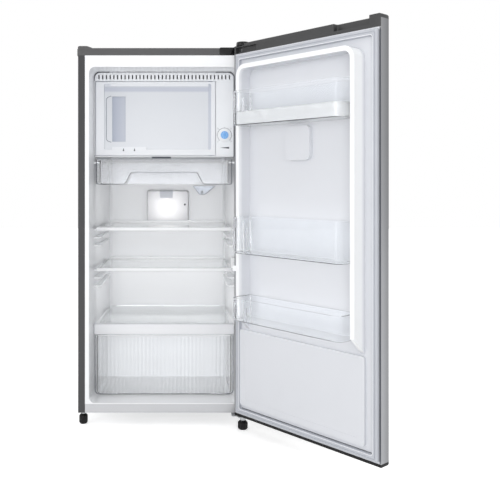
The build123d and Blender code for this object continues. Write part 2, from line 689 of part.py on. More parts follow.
def insulation_foam():
    """The foam between liner and sheets: a slab for each wall, stepped over the compressor chamber."""
    width = (SHEET - HALF, HALF - SHEET)
    back = CABINET_DEPTH - SHEET
    behind = LINER_DEPTH + LINER
    above = liner_ceiling(LINER_DEPTH) + LINER
    below = LINER_FLOOR - LINER
    step = (STEP_FRONT + LINER, STEP_TOP - LINER)
    chamber = CHAMBER_FRONT - SHEET
    slope = [(0, CEILING + LINER), (behind, above), (back, above)]
    ceiling = across(slope + [(back, CABINET_TOP), (0, CABINET_TOP)], width)
    rear = block(width, (behind, back), (step[1], above))
    roof = block(width, (step[0], back), (CHAMBER_TOP, step[1]))
    nose = roof.edges().filter_by(Axis.X).group_by(Axis.Z)[-1].sort_by(Axis.Y)[0]
    roof = fillet(nose, STEP_RADIUS - LINER)
    riser = block(width, (step[0], chamber), (below, CHAMBER_TOP))
    floor = block(width, (0, chamber), (CABINET_BOTTOM + PAN_SHEET, below))
    sides = foam_sides()
    bores = drain_bore(SEAT_GAP) + drain_mouth(SEAT_GAP) + suction_bore() + lamp_bore(SEAT_GAP)
    hollow = block((-HALF, HALF), (chamber, CABINET_DEPTH), (0, CHAMBER_TOP))
    front = block((-HALF, HALF), (-1, LINER), (0, CABINET_TOP + 1))
    slabs = [slab - sides - front - bores for slab in (ceiling, rear, roof, riser, floor)]
    slabs.append(sides - hollow - front)
    return Compound([solid for slab in slabs for solid in slab.solids()])


def top_cap():
    """The plastic top: a hollow lid with a ramped rise at the free front corner."""
    half = HALF + TOP_CAP_OVERHANG
    span = (-TOP_CAP_LIP, CABINET_DEPTH + 1)
    lid = plan_prism((-half, half), span, (CABINET_TOP, TOP_CAP_TOP), 10)
    lid = fillet(lid.edges().group_by(Axis.Z)[-1], 4)
    top = TOP_CAP_TOP + CORNER_RISE
    ramp = along([(-half + 2, CABINET_TOP + 8), (-half + 2, top), (CORNER_FLAT - half, top),
                  (CORNER_FLAT + CORNER_RAMP - half, TOP_CAP_TOP - 1),
                  (CORNER_FLAT + CORNER_RAMP - half, CABINET_TOP + 8)],
                 (0.5 - TOP_CAP_LIP, CORNER_DEPTH))
    ramp = fillet(ramp.edges().filter_by(Axis.Z).group_by(Axis.X)[0], 8)
    ramp = fillet(ramp.edges().group_by(Axis.Z)[-1], 4)
    hollow = plan_prism(grown((-half, half), -TOP_CAP_WALL), grown(span, -TOP_CAP_WALL),
                        (CABINET_TOP - 1, TOP_CAP_TOP - TOP_CAP_SKIN), 8)
    lid = lid + ramp - hollow
    for x, y in TOP_SCREWS:
        lid += post(x, y, (CABINET_TOP, TOP_CAP_TOP - 1), 3 * SCREW_RADIUS)
        lid -= post(x, y, (CABINET_TOP + 4, TOP_CAP_TOP + 1), SCREW_RADIUS + RUN_GAP)
    return lid


# Hinges, feet and fasteners


def top_hinge():
    """The steel arm on top of the cabinet with its pin down into the door."""
    height = (TOP_CAP_TOP, TOP_CAP_TOP + BRACKET)
    arm = post(HINGE_X, HINGE_Y, height, HINGE_PLATE_HALF)
    arm += plan_prism(grown((HINGE_X, HINGE_X), HINGE_PLATE_HALF), (HINGE_Y, TOP_HINGE_LENGTH), height, 3)
    arm += post(HINGE_X, HINGE_Y, (DOOR_LINER_TOP + 2, TOP_CAP_TOP + 1), HINGE_PIN_RADIUS)
    for x, y in TOP_SCREWS:
        arm -= post(x, y, grown(height, 1), SCREW_RADIUS + SEAT_GAP)
    return arm


def hinge_cover():
    """The moulded cover: a ramp up from the plastic top, a round nose over the pin and an apron in front."""
    base = TOP_CAP_TOP
    top = base + COVER_RISE
    right = HALF + TOP_CAP_OVERHANG - 1
    left = HINGE_X - HINGE_PLATE_HALF - COVER_RAMP + 11
    front = -TOP_CAP_LIP - COVER_SKIN
    back = along([(left, base), (left + COVER_RAMP, top), (right - 4, top), (right, top - 5), (right, base)],
                 (front, COVER_LENGTH))
    back = fillet(back.edges().filter_by(Axis.Y).sort_by(Axis.Z)[-2:], 3)
    nose_z = (base - 1, top - 1.5)
    beside = grown((HINGE_X, HINGE_X), COVER_NOSE)
    nose = post(HINGE_X, HINGE_Y, nose_z, COVER_NOSE) + block(beside, (HINGE_Y, front + 1), nose_z)
    inner_z = (base - 2, nose_z[1] - COVER_SKIN)
    hollow = post(HINGE_X, HINGE_Y, inner_z, COVER_NOSE - COVER_SKIN)
    hollow += block(grown((HINGE_X, HINGE_X), HINGE_PLATE_HALF + SEAT_GAP), (HINGE_Y, COVER_LENGTH - 3),
                    inner_z)
    apron = block((left - COVER_APRON, left + 6), (front, -TOP_CAP_LIP - WALL_FIT),
                  (CABINET_TOP + 1, base + 1))
    apron = chamfer(apron.edges().filter_by(Axis.Y).group_by(Axis.X)[0], 3)
    return back + nose - hollow + apron


def bottom_hinge():
    """The lower bracket: a plate under the cabinet, the pin up into the door and the foot's nut below."""
    height = (CABINET_BOTTOM - BRACKET, CABINET_BOTTOM)
    plate = post(HINGE_X, HINGE_Y, height, HINGE_PLATE_HALF)
    plate += plan_prism((HINGE_X - 2 * HINGE_PLATE_HALF, HINGE_X + HINGE_PLATE_HALF),
                        (HINGE_Y, BOTTOM_HINGE_LENGTH), height, 6)
    plate += post(HINGE_X, HINGE_Y, (CABINET_BOTTOM - 1, SKIN_BOTTOM - 1.5), HINGE_PIN_RADIUS)
    plate += hex_nut(HINGE_X, HINGE_Y, (RIGHT_FOOT_HEIGHT + 1, CABINET_BOTTOM - BRACKET))
    plate -= post(HINGE_X, HINGE_Y, (0, CABINET_BOTTOM - 0.5), STUD_RADIUS + RUN_GAP)
    for x, y in BOTTOM_SCREWS:
        plate -= post(x, y, grown(height, 1), SCREW_RADIUS + SEAT_GAP)
    return plate


def cabinet_screws():
    """The screws of both hinges."""
    screws = Part()
    for x, y in TOP_SCREWS:
        screws += screw(x, y, TOP_CAP_TOP + BRACKET, SCREW_LENGTH)
    for x, y in BOTTOM_SCREWS:
        screws += Rot(180, 0, 0) * screw(x, -y, BRACKET - CABINET_BOTTOM, BRACKET)
    return screws


def levelling_foot(radius, height, stud_top):
    """A lobed foot with a flat round sole, a neck and its stud."""
    profile = [(0, 0), (radius * 0.76, 0), (radius * 0.86, 1.5), (radius * 0.86, 4), (radius, 4),
               (radius, height - 6), (radius * 0.84, height - 4), (radius * 0.6, height), (0, height)]
    foot = turned(profile, 0, 0)
    for step in range(FOOT_LOBES):
        angle = radians(360 / FOOT_LOBES * step)
        away = radius * 1.22
        foot -= post(away * cos(angle), away * sin(angle), (3, height + 1), radius * 0.34)
    return foot + post(0, 0, (height - 1, stud_top), STUD_RADIUS)


def front_left_foot():
    """The free side's levelling foot, threaded into the pan."""
    x, y = LEFT_FOOT
    stud_top = CABINET_BOTTOM + PAN_SHEET - 0.2
    return Pos(x, y, 0) * levelling_foot(LEFT_FOOT_RADIUS, LEFT_FOOT_HEIGHT, stud_top)


def front_right_foot():
    """The hinge side's levelling foot, threaded into the lower hinge under its pin."""
    return Pos(HINGE_X, HINGE_Y, 0) * levelling_foot(RIGHT_FOOT_RADIUS, RIGHT_FOOT_HEIGHT, CABINET_BOTTOM - 1)


def rear_feet():
    """Two plain moulded feet under the back corners."""
    x, y = REAR_FOOT
    radius = REAR_FOOT_RADIUS
    profile = [(0, 0), (radius - 2, 0), (radius, 2), (radius + 3, CABINET_BOTTOM), (0, CABINET_BOTTOM)]
    return both_sides(turned(profile, x, y))


# Freezer box and control panel


def frame_plate(inset):
    """The frame's outline as a block: wide round corners above, tight ones below."""
    end = FRAME_BACK + (1 if inset else 0)
    plate = block(grown((-FRAME_HALF, FRAME_HALF), -inset), (FRAME_Y + inset, end),
                  grown((FRAME_BOTTOM, FRAME_TOP), -inset))
    plate = fillet(plate.edges().filter_by(Axis.Y).group_by(Axis.Z)[-1], FRAME_TOP_RADIUS - inset)
    return fillet(plate.edges().filter_by(Axis.Y).group_by(Axis.Z)[0], FRAME_FOOT_RADIUS - inset)


def freezer_frame():
    """The moulded front of the freezer box: air slots, the freezer door's recess and the control panel."""
    outer = frame_plate(0)
    frame = chamfer(outer.faces().sort_by(Axis.Y)[0].edges(), FRAME_EDGE) - frame_plate(FRAME_SKIN)
    tub = block(grown(RECESS_X, FRAME_SKIN), (FRAME_Y, FRAME_BACK), grown(RECESS_Z, FRAME_SKIN))
    frame += tub & outer
    panel = front_prism((RECESS_X[1] + FRAME_SKIN, FRAME_HALF - FRAME_SKIN),
                        (FRAME_BOTTOM + 4, RECESS_Z[1] + 1),
                        (FRAME_Y - PANEL_RISE, FRAME_Y + 1), 3)
    frame += panel
    recess_y = (FRAME_Y - 2, FRAME_Y + FREEZER_DOOR_THICKNESS + FREEZER_DOOR_BACK_GAP)
    frame -= block(RECESS_X, recess_y, RECESS_Z)
    frame -= front_prism(OPENING_X, OPENING_Z, (FRAME_Y, FRAME_BACK + 1), 4)
    for i in range(VENT_COUNT):
        x = (i - (VENT_COUNT - 1) / 2) * VENT_PITCH
        frame -= block(grown((x, x), VENT_WIDTH / 2), (FRAME_Y - 1, FRAME_Y + FRAME_SKIN + 1),
                       (FRAME_TOP - VENT_DROP - VENT_HEIGHT, FRAME_TOP - VENT_DROP))
    frame -= block(NOTCH_PLACE, (FRAME_Y - 1, FRAME_Y + 3), (FRAME_BOTTOM - 1, FRAME_BOTTOM + NOTCH_HEIGHT))
    frame -= peg(KNOB_X, KNOB_Z, (FRAME_Y - 2, FRAME_Y + FRAME_SKIN + 1), SPINDLE_RADIUS + TRIM_GAP)
    x, y = FREEZER_AXIS
    return frame - post(x, y, grown(RECESS_Z, FRAME_SKIN + 1), FREEZER_PIN_RADIUS + RUN_GAP)


def freezer_field():
    """The sunk field of the freezer door, whose top and hinge side slope down into it."""
    left, right, low, high = FIELD_MARGINS
    x = (FREEZER_X[0] + left, FREEZER_X[1] - right)
    z = (FREEZER_Z[0] + low, FREEZER_Z[1] - high)
    floor_x = (x[0] + 0.5, x[1] - FIELD_SLOPE)
    floor_z = (z[0] + 0.5, z[1] - FIELD_SLOPE)
    front = upright_face(x, z, FRAME_Y - 0.01, 5)
    floor = upright_face(floor_x, floor_z, FRAME_Y + FREEZER_FIELD_DEPTH, 5)
    return loft([front, floor], ruled=True)


def freezer_door():
    """The inner door: a sunk field, a finger pocket with a shallow lead, a latch bar and two moulded pins."""
    front = FRAME_Y
    back = FRAME_Y + FREEZER_DOOR_THICKNESS
    slab = chamfer(block(FREEZER_X, (front, back), FREEZER_Z).faces().sort_by(Axis.Y)[0].edges(),
                   FREEZER_EDGE)
    slab -= freezer_field()
    sunk = front + FREEZER_FIELD_DEPTH
    slab -= front_prism((POCKET_X[0] - LEAD_WIDTH, POCKET_X[0] + LEAD_WIDTH), grown(POCKET_Z, -1),
                        (sunk - 1, sunk + LEAD_DEPTH), LEAD_CORNER)
    slab -= block(POCKET_X, (sunk - 1, sunk + POCKET_DEPTH), POCKET_Z)
    bar_z = FREEZER_Z[0] + FIELD_MARGINS[2] - LATCH_HEIGHT + 9
    slab += front_prism((POCKET_X[0], POCKET_X[0] + LATCH_LENGTH), (bar_z, bar_z + LATCH_HEIGHT),
                        (front - 0.8, sunk + 1), 2)
    x, y = FREEZER_AXIS
    edge = block((x, FREEZER_X[1] + 1), (y, back + 1), grown(FREEZER_Z, 1))
    slab -= edge - post(x, y, grown(FREEZER_Z, 2), FREEZER_PIN_INSET)
    return slab + post(x, y, grown(RECESS_Z, FRAME_SKIN), FREEZER_PIN_RADIUS)


def evaporator():
    """The freezer box itself: a rolled aluminium sheet with its raised channels on top."""
    x = grown(OPENING_X, 1)
    z = grown(OPENING_Z, 1)
    sheet = EVAPORATOR_SHEET
    ends = (EVAPORATOR_FRONT, EVAPORATOR_BACK)
    box = front_prism(grown(x, sheet), grown(z, sheet), ends, 9)
    box -= front_prism(x, z, (ends[0] - 1, ends[1] - sheet), 8)
    top = (z[1] + sheet - 0.5, z[1] + sheet + CHANNEL_RISE)
    run = grown(x, -CHANNEL_MARGIN)
    for i in range(CHANNEL_COUNT):
        y = ends[0] + CHANNEL_PITCH * (i + 1)
        box += block(run, (y, y + CHANNEL_WIDTH), top)
        if i < CHANNEL_COUNT - 1:
            side = run[1] - CHANNEL_WIDTH if i % 2 == 0 else run[0]
            box += block((side, side + CHANNEL_WIDTH), (y, y + CHANNEL_PITCH + CHANNEL_WIDTH), top)
    return box


def ice_tray():
    """An ice tray with draughted cells, standing on the floor of the freezer box."""
    floor = OPENING_Z[0] - 1 + SEAT_GAP
    middle_y = EVAPORATOR_FRONT + ICE_SETBACK
    half = (ICE_COLUMNS * ICE_PITCH[0] / 2 + 3, ICE_ROWS * ICE_PITCH[1] / 2 + 3)
    tray = plan_prism(grown((ICE_X, ICE_X), half[0]), grown((middle_y, middle_y), half[1]),
                      (floor, floor + ICE_HEIGHT), 6)
    for i in range(ICE_COLUMNS):
        for j in range(ICE_ROWS):
            x = ICE_X + (i - (ICE_COLUMNS - 1) / 2) * ICE_PITCH[0]
            y = middle_y + (j - (ICE_ROWS - 1) / 2) * ICE_PITCH[1]
            mouth = Plane.XY.offset(floor + ICE_HEIGHT) * Pos(x, y) * Rectangle(*ICE_CELL)
            tray -= extrude(mouth, ICE_WALL - ICE_HEIGHT, taper=8)
    return tray


def thermostat():
    """The control box behind the panel, with the bore that the knob's spindle turns in."""
    y = FRAME_Y + FRAME_SKIN + SEAT_GAP
    wide, deep, tall = THERMOSTAT_SIZE
    case = block(grown((KNOB_X, KNOB_X), wide / 2), (y, y + deep), grown((KNOB_Z, KNOB_Z), tall / 2))
    case = chamfer(case.edges().filter_by(Axis.Y), 4) + peg(KNOB_X, KNOB_Z, (y + deep - 1, y + deep + 8), 9)
    return case - peg(KNOB_X, KNOB_Z, (y - 1, y + deep / 2), SPINDLE_RADIUS + RUN_GAP)


def thermostat_knob():
    """The dial: a thin skirt, a hub with a grip bar, and its spindle."""
    tip = FRAME_Y - KNOB_REACH
    back = FRAME_Y - PANEL_RISE - TRIM_GAP
    skirt = peg(KNOB_X, KNOB_Z, (back - KNOB_SKIRT, back), KNOB_RADIUS)
    hub = peg(KNOB_X, KNOB_Z, (tip + 3, back), KNOB_HUB_RADIUS)
    bar = block(grown((KNOB_X, KNOB_X), KNOB_BAR / 2), (tip, tip + 4),
                grown((KNOB_Z, KNOB_Z), KNOB_HUB_RADIUS - 1))
    dial = chamfer(skirt.edges().group_by(Axis.Y)[0], 1.2) + chamfer(hub.edges().group_by(Axis.Y)[0], 1)
    dial += chamfer(bar.edges().group_by(Axis.Y)[0], 1)
    return dial + peg(KNOB_X, KNOB_Z, (back - 1, FRAME_Y + FRAME_DEPTH), SPINDLE_RADIUS)


# Tray, shelves and drawer


def chiller_rails():
    """The two rails on the side walls that the chiller tray slides on."""
    inner = TRAY_BODY_HALF + 2
    profile = [(inner, RAIL_TOP - 4), (inner, RAIL_TOP), (HALF, RAIL_TOP), (HALF, RAIL_TOP - RAIL_DEPTH),
               (inner + 7, RAIL_TOP - 4)]
    rail = along(profile, (SHELF_FRONT + FRAME_BEHIND_SHELF, TRAY_BACK + 10))
    return both_sides(rail) & room(-WALL_FIT)


def tray_grip(low, inset):
    """The slanted outline of the tray's finger cut, let in by an inset."""
    wide, narrow, tall, _ = TRAY_GRIP
    wide -= inset
    narrow -= inset
    top = TRAY_BOTTOM + tall - inset
    return [(-wide, low), (-narrow, top), (narrow, top), (wide, low)]


def chiller_tray():
    """The clear tray under the freezer box, with a slanted finger cut in its front."""
    half = TRAY_BODY_HALF
    wall = TRAY_WALL
    back = (SHELF_FRONT, TRAY_BACK)
    tub = block((-half, half), back, (TRAY_BOTTOM, TRAY_TOP - 6))
    tub = chamfer(tub.edges().filter_by(Axis.Y).group_by(Axis.Z)[0], TRAY_RADIUS)
    hollow = block(grown((-half, half), -wall), grown(back, -wall), (TRAY_BOTTOM + wall, TRAY_TOP + 1))
    hollow = chamfer(hollow.edges().filter_by(Axis.Y).group_by(Axis.Z)[0], TRAY_RADIUS - wall / 2)
    wing = block((half - 1, half + TRAY_WING), (SHELF_FRONT + 1, TRAY_BACK - 20),
                 (RAIL_TOP + SEAT_GAP, RAIL_TOP + 2.5))
    face = front_prism((-SHELF_HALF, SHELF_HALF), (TRAY_BOTTOM, TRAY_TOP),
                       grown((SHELF_FRONT, SHELF_FRONT + wall), 0.4), 5)
    deep = SHELF_FRONT + TRAY_GRIP[3]
    cut = along(tray_grip(TRAY_BOTTOM - 1, 0), (SHELF_FRONT - 5, deep - wall))
    hood = along(tray_grip(TRAY_BOTTOM, 0), (SHELF_FRONT, deep))
    inside = along(tray_grip(TRAY_BOTTOM - 2, wall), (SHELF_FRONT - 10, deep - wall))
    return tub - hollow + both_sides(wing) + face - cut + (hood - inside)


def shelf_glass(top):
    """A glass plate with rounded corners."""
    return plan_prism((-GLASS_HALF, GLASS_HALF), (SHELF_FRONT + GLASS_TUCK, SHELF_BACK - GLASS),
                      (top - GLASS_DROP - GLASS, top - GLASS_DROP), GLASS_CORNER)


def glass_slot(top, back):
    """The groove that a glass sits in."""
    return block(grown((-GLASS_HALF, GLASS_HALF), SEAT_GAP), (SHELF_FRONT + GLASS_TUCK - SEAT_GAP, back),
                 grown((top - GLASS_DROP - GLASS, top - GLASS_DROP), CLIP_GAP))


def shelf_trim(top):
    """The white front and rear rails of a shelf, each grooved for the glass."""
    front = block((-SHELF_HALF, SHELF_HALF), (SHELF_FRONT, SHELF_FRONT + TRIM_DEPTH),
                  (top - TRIM_HEIGHT, top))
    front = fillet(front.edges().filter_by(Axis.X).group_by(Axis.Y)[0], TRIM_NOSE)
    front = chamfer(front.edges().filter_by(Axis.Z), 3)
    deep, drop, rise = REAR_RAIL
    back = block(grown((-GLASS_HALF, GLASS_HALF), -4), (SHELF_BACK - deep, SHELF_BACK),
                 (top - drop, top + rise))
    back = chamfer(back.edges().filter_by(Axis.X).group_by(Axis.Z)[-1], 2)
    under = block((-HALF, LEDGE_REACH + 8 - liner_half(LINER_DEPTH)), (SHELF_FRONT + 12, SHELF_BACK + 1),
                  (top - TRIM_HEIGHT - 1, top - GLASS_DROP - GLASS - CLIP_GAP))
    return front + back - glass_slot(top, SHELF_BACK - GLASS + SEAT_GAP) - both_sides(under)


def crisper_cover_glass():
    """The glass over the drawer, which reaches back over the step."""
    return plan_prism((-GLASS_HALF, GLASS_HALF), (SHELF_FRONT + GLASS_TUCK, COVER_BACK),
                      (COVER_TOP - GLASS_DROP - GLASS, COVER_TOP - GLASS_DROP), GLASS_CORNER)


def crisper_cover_frame():
    """The deep white rail at the front of the cover, which hides the drawer's rim."""
    front = SHELF_FRONT - 2
    span = (-COVER_HALF, COVER_HALF)
    rail = block(span, (front, front + COVER_RAIL), (COVER_TOP - COVER_TRIM_HEIGHT, COVER_TOP))
    rail += block(span, (front, front + TRIM_DEPTH + 5), (COVER_TOP - 10, COVER_TOP))
    rail = fillet(rail.edges().filter_by(Axis.X).group_by(Axis.Y)[0], 3)
    return rail - glass_slot(COVER_TOP, front + TRIM_DEPTH + 8)


def drawer_tub(inset):
    """The drawer's tub let in by a wall and drawn in towards its back, with a spare height to cut away."""
    half = DRAWER_HALF - inset
    z = (DRAWER_BOTTOM + inset, DRAWER_TOP + 40)
    radius = DRAWER_RADIUS - inset
    front = upright_face((-half, half), z, DRAWER_FRONT + inset, radius)
    back = upright_face(grown((-half, half), -DRAWER_DRAFT), z, DRAWER_BACK - inset, radius)
    return loft([front, back], ruled=True)


def crisper_drawer():
    """The clear drawer, with upright flutes behind its front and two runners below."""
    tub = drawer_tub(0) - drawer_tub(DRAWER_WALL)
    side, low, high = FLUTE_MARGINS
    pitch = 2 * (DRAWER_HALF - side) / FLUTE_COUNT
    y = DRAWER_FRONT + DRAWER_WALL
    for i in range(FLUTE_COUNT):
        x = (i - (FLUTE_COUNT - 1) / 2) * pitch
        tub += block(grown((x, x), FLUTE_WIDTH / 2), (y - 0.2, y + FLUTE_RISE),
                     (DRAWER_BOTTOM + low, DRAWER_TOP - high))
    for x in (40 - DRAWER_HALF, DRAWER_HALF - 40):
        tub += block(grown((x, x), 4), grown((DRAWER_FRONT, DRAWER_BACK), -8),
                     (LINER_FLOOR + SEAT_GAP, DRAWER_BOTTOM + 1))
    return tub - block((-HALF, HALF), (0, CABINET_DEPTH), (DRAWER_TOP, DRAWER_TOP + 80))


# Lamp, drain and door switch


def lamp_dish(wall):
    """The lamp cover's outside or inside, tapered towards the front."""
    outline = upright_face(grown(LAMP_X, -wall), grown(LAMP_Z, -wall), LINER_DEPTH - SEAT_GAP,
                           LAMP_CORNER - wall)
    return extrude(outline, LAMP_DEPTH - wall, taper=8)


def lamp_cover():
    """The clear lamp cover on the back wall: a hollow dish with a screw hole."""
    screw_z = (LAMP_Z[0] + LAMP_Z[1]) / 2 + 5
    hole = peg(LAMP_X[1] - 16, screw_z, (LINER_DEPTH - LAMP_DEPTH - 1, LINER_DEPTH), SCREW_RADIUS)
    return lamp_dish(0) - lamp_dish(LAMP_WALL) - hole


def lamp_bore(gap):
    """The hole in the liner and foam that the lamp holder sits in."""
    return peg(0, LAMP_SOCKET_Z, (LINER_DEPTH - 1, LINER_DEPTH + 24 + gap), SOCKET_RADIUS + gap)


def lamp_holder():
    """The bulb holder, let into the back wall."""
    holder = peg(0, LAMP_SOCKET_Z, (LINER_DEPTH - 6, LINER_DEPTH + 24), SOCKET_RADIUS)
    return holder - peg(0, LAMP_SOCKET_Z, (LINER_DEPTH - 7, LINER_DEPTH + 8), BULB_RADIUS * 0.7 + 0.2)


def lamp_bulb():
    """A small tubular bulb in its holder."""
    neck = BULB_RADIUS * 0.7
    profile = [(0, -28), (neck, -26), (BULB_RADIUS, -20), (neck, -7), (neck, 7), (0, 7)]
    return Pos(0, LINER_DEPTH, LAMP_SOCKET_Z) * revolve(make_face(Polyline(*profile, close=True)),
                                                        axis=Axis.Y)


def funnel_outline(inset):
    """The drain catch's V, let in by a wall and then open above."""
    low, high = FUNNEL_Z
    top = high + (1 if inset else 0)
    return [(FUNNEL_X[0] + inset, top), (FUNNEL_X[1] - inset, top),
            (FUNNEL_TIP_X + FUNNEL_TIP_HALF - inset / 2, low + inset),
            (FUNNEL_TIP_X - FUNNEL_TIP_HALF + inset / 2, low + inset)]


def drain_funnel():
    """The V-shaped catch under the freezer box, with its spout through the back wall."""
    back = LINER_DEPTH - WALL_FIT
    front = back - FUNNEL_DEPTH
    catch = along(funnel_outline(0), (front, back))
    catch -= along(funnel_outline(FUNNEL_WALL), (front + FUNNEL_WALL, back - FUNNEL_WALL))
    spout = peg(FUNNEL_TIP_X, SPOUT_Z, (back - 1, DRAIN_Y - DRAIN_RADIUS - SEAT_GAP), SPOUT_RADIUS)
    return catch + spout - peg(FUNNEL_TIP_X, SPOUT_Z, (back - 6, DRAIN_Y), SPOUT_RADIUS - DRAIN_WALL)


def drain_mouth(gap):
    """The spout's hole through liner and foam."""
    return peg(FUNNEL_TIP_X, SPOUT_Z, (LINER_DEPTH - 1, DRAIN_Y), SPOUT_RADIUS + gap)


def drain_bore(gap):
    """The upright drain's hole through foam and chamber sheet."""
    return post(FUNNEL_TIP_X, DRAIN_Y, (CHAMBER_TOP - 4, SPOUT_Z + 15 + gap), DRAIN_RADIUS + gap)


def drain_tube():
    """The upright drain from the spout down to the tray on the compressor."""
    span = (CHAMBER_TOP - 3, SPOUT_Z + 15)
    pipe = post(FUNNEL_TIP_X, DRAIN_Y, span, DRAIN_RADIUS)
    pipe -= post(FUNNEL_TIP_X, DRAIN_Y, (span[0] - 1, span[1] - 2), DRAIN_RADIUS - DRAIN_WALL)
    return pipe - peg(FUNNEL_TIP_X, SPOUT_Z, (DRAIN_Y - DRAIN_RADIUS - 1, DRAIN_Y), SPOUT_RADIUS - DRAIN_WALL)


def door_switch():
    """The door switch, clipped to the side wall just inside the mouth."""
    inner = liner_half(SWITCH_FRONT) - SWITCH_REACH
    body = block((inner, HALF), SWITCH_Y,
                 grown((SWITCH_MIDDLE, SWITCH_MIDDLE), SWITCH_HEIGHT / 2)) & room(-WALL_FIT)
    body = chamfer(body.edges().filter_by(Axis.Z).group_by(Axis.X)[0], 3)
    return body - peg(SWITCH_X, SWITCH_MIDDLE, (SWITCH_Y[0] - 1, SWITCH_Y[1] - 3), PLUNGER_RADIUS + RUN_GAP)


def switch_plunger():
    """The plunger that the closing door pushes in."""
    pin = peg(SWITCH_X, SWITCH_MIDDLE, (PLUNGER_TIP, SWITCH_Y[1] - 4 - PLUNGER_TRAVEL), PLUNGER_RADIUS)
    return chamfer(pin.edges().group_by(Axis.Y)[0], 1.5)


# Compressor and pipes


def compressor():
    """The welded pot on its foot plate, with its seam, its process stub and its terminals."""
    foot = COMPRESSOR_FOOT
    low = foot + COMPRESSOR_PLATE
    radius = COMPRESSOR_RADIUS
    seam = low + COMPRESSOR_HEIGHT * 0.55
    profile = [(0, low - 1), (radius - 26, low - 1), (radius - 7, foot + 16), (radius, foot + 34),
               (radius, seam - 3),
               (radius + 4, seam - 3), (radius + 4, seam + 3), (radius - 1, seam + 3),
               (radius - 6, POT_TOP - 32),
               (radius - 22, POT_TOP - 10), (radius - 46, POT_TOP), (0, POT_TOP)]
    wide, deep = COMPRESSOR_FOOTPRINT
    plate = plan_prism(grown((COMPRESSOR_X, COMPRESSOR_X), wide), grown((COMPRESSOR_Y, COMPRESSOR_Y), deep),
                       (foot, low), 14)
    waist = grown((COMPRESSOR_X, COMPRESSOR_X), wide - 32)
    plate -= plan_prism(waist, (COMPRESSOR_Y - deep - 20, COMPRESSOR_Y - deep + 16), grown((foot, low), 1),
                        10)
    plate -= plan_prism(waist, (COMPRESSOR_Y + deep - 16, COMPRESSOR_Y + deep + 20), grown((foot, low), 1),
                        10)
    body = turned(profile, COMPRESSOR_X, COMPRESSOR_Y) + plate
    body += block((COMPRESSOR_X + radius - 12, COMPRESSOR_X + radius + TERMINAL_REACH),
                  grown((COMPRESSOR_Y, COMPRESSOR_Y), 18), (foot + 52, foot + 84))
    body += peg(COMPRESSOR_X - DISCHARGE_SIDE, foot + DISCHARGE_STUB,
                (COMPRESSOR_Y, COMPRESSOR_Y + radius + 14), 3)
    for x, y in GROMMETS:
        body -= post(x, y, grown((foot, low), 1), 5 + SEAT_GAP)
    return body


def compressor_grommets():
    """Four rubber mounts between the pan and the compressor's foot plate."""
    low = CABINET_BOTTOM + PAN_SHEET
    waist = low + GROMMET_HEIGHT / 2
    top = COMPRESSOR_FOOT + COMPRESSOR_PLATE + 3
    shoulder = COMPRESSOR_FOOT - WALL_FIT
    radius = GROMMET_RADIUS
    profile = [(0, low), (radius, low), (radius - 2, waist), (radius, shoulder), (5, shoulder),
               (5, top), (0, top)]
    mounts = Part()
    for x, y in GROMMETS:
        mounts += turned(profile, x, y)
    return mounts


def relay_cover():
    """The plastic box over the compressor's terminals."""
    wide, deep, tall = RELAY_SIZE
    x = COMPRESSOR_X + COMPRESSOR_RADIUS + TERMINAL_REACH + SEAT_GAP
    low = COMPRESSOR_FOOT + 44
    box = block((x, x + wide), grown((COMPRESSOR_Y, COMPRESSOR_Y), deep / 2), (low, low + tall))
    return chamfer(box.edges().group_by(Axis.X)[-1], 5)


def evaporation_tray():
    """The open tray on the compressor that catches the thawed water."""
    z = (POT_TOP + SEAT_GAP, POT_TOP + SEAT_GAP + WATER_TRAY_HEIGHT)
    x = (COMPRESSOR_X - COMPRESSOR_RADIUS - 7, FUNNEL_TIP_X + 22)
    y = (COMPRESSOR_Y - COMPRESSOR_RADIUS + 1, DRAIN_Y + 20)
    wall = WATER_TRAY_WALL
    tub = plan_prism(x, y, z, 12)
    return tub - plan_prism(grown(x, -wall), grown(y, -wall), (z[0] + wall, z[1] + 1), 12 - wall)


def condenser_tube():
    """The serpentine on the back: one unbroken pipe in level passes, turned down to the drier at its end."""
    left, right = CONDENSER_X
    points = []
    for i in range(CONDENSER_PASSES):
        ends = (right, left) if i % 2 == 0 else (left, right)
        points += [(x, CONDENSER_Y, CONDENSER_Z[1] - i * CONDENSER_RISE) for x in ends]
    points[-1] = (DRIER_X, CONDENSER_Y, CONDENSER_Z[0])
    points.append((DRIER_X, CONDENSER_Y, DRIER_Z[1] + SEAT_GAP))
    return tube(points, CONDENSER_BEND, TUBE_RADIUS)


def condenser_wires():
    """Upright wires welded to both faces of the serpentine."""
    left, right = WIRE_X
    span = grown(CONDENSER_Z, WIRE_OVERRUN)
    offset = TUBE_RADIUS + WELD_GAP + WIRE_SIZE / 2
    wires = []
    for i in range(WIRE_COUNT):
        x = left + i * (right - left) / (WIRE_COUNT - 1)
        for y in (CONDENSER_Y - offset, CONDENSER_Y + offset):
            wires.append(block(grown((x, x), WIRE_SIZE / 2), grown((y, y), WIRE_SIZE / 2), span))
    return Compound(wires)


def condenser_brackets():
    """Four clips that hold the serpentine off the back panel."""
    clips = []
    bore = TUBE_RADIUS + CLIP_GAP
    for x in CLIP_X:
        for z in grown(CONDENSER_Z, -CONDENSER_RISE):
            across_x = grown((x, x), CLIP_WIDTH / 2)
            clip = block(across_x, (CABINET_DEPTH, CONDENSER_Y + TUBE_RADIUS + CLIP_WALL),
                         grown((z, z), CLIP_HEIGHT / 2))
            clip = chamfer(clip.edges().filter_by(Axis.X).group_by(Axis.Y)[-1], 4)
            clips.append(clip - block(grown(across_x, 1), grown((CONDENSER_Y, CONDENSER_Y), bore),
                                      grown((z, z), bore)))
    return Compound(clips)


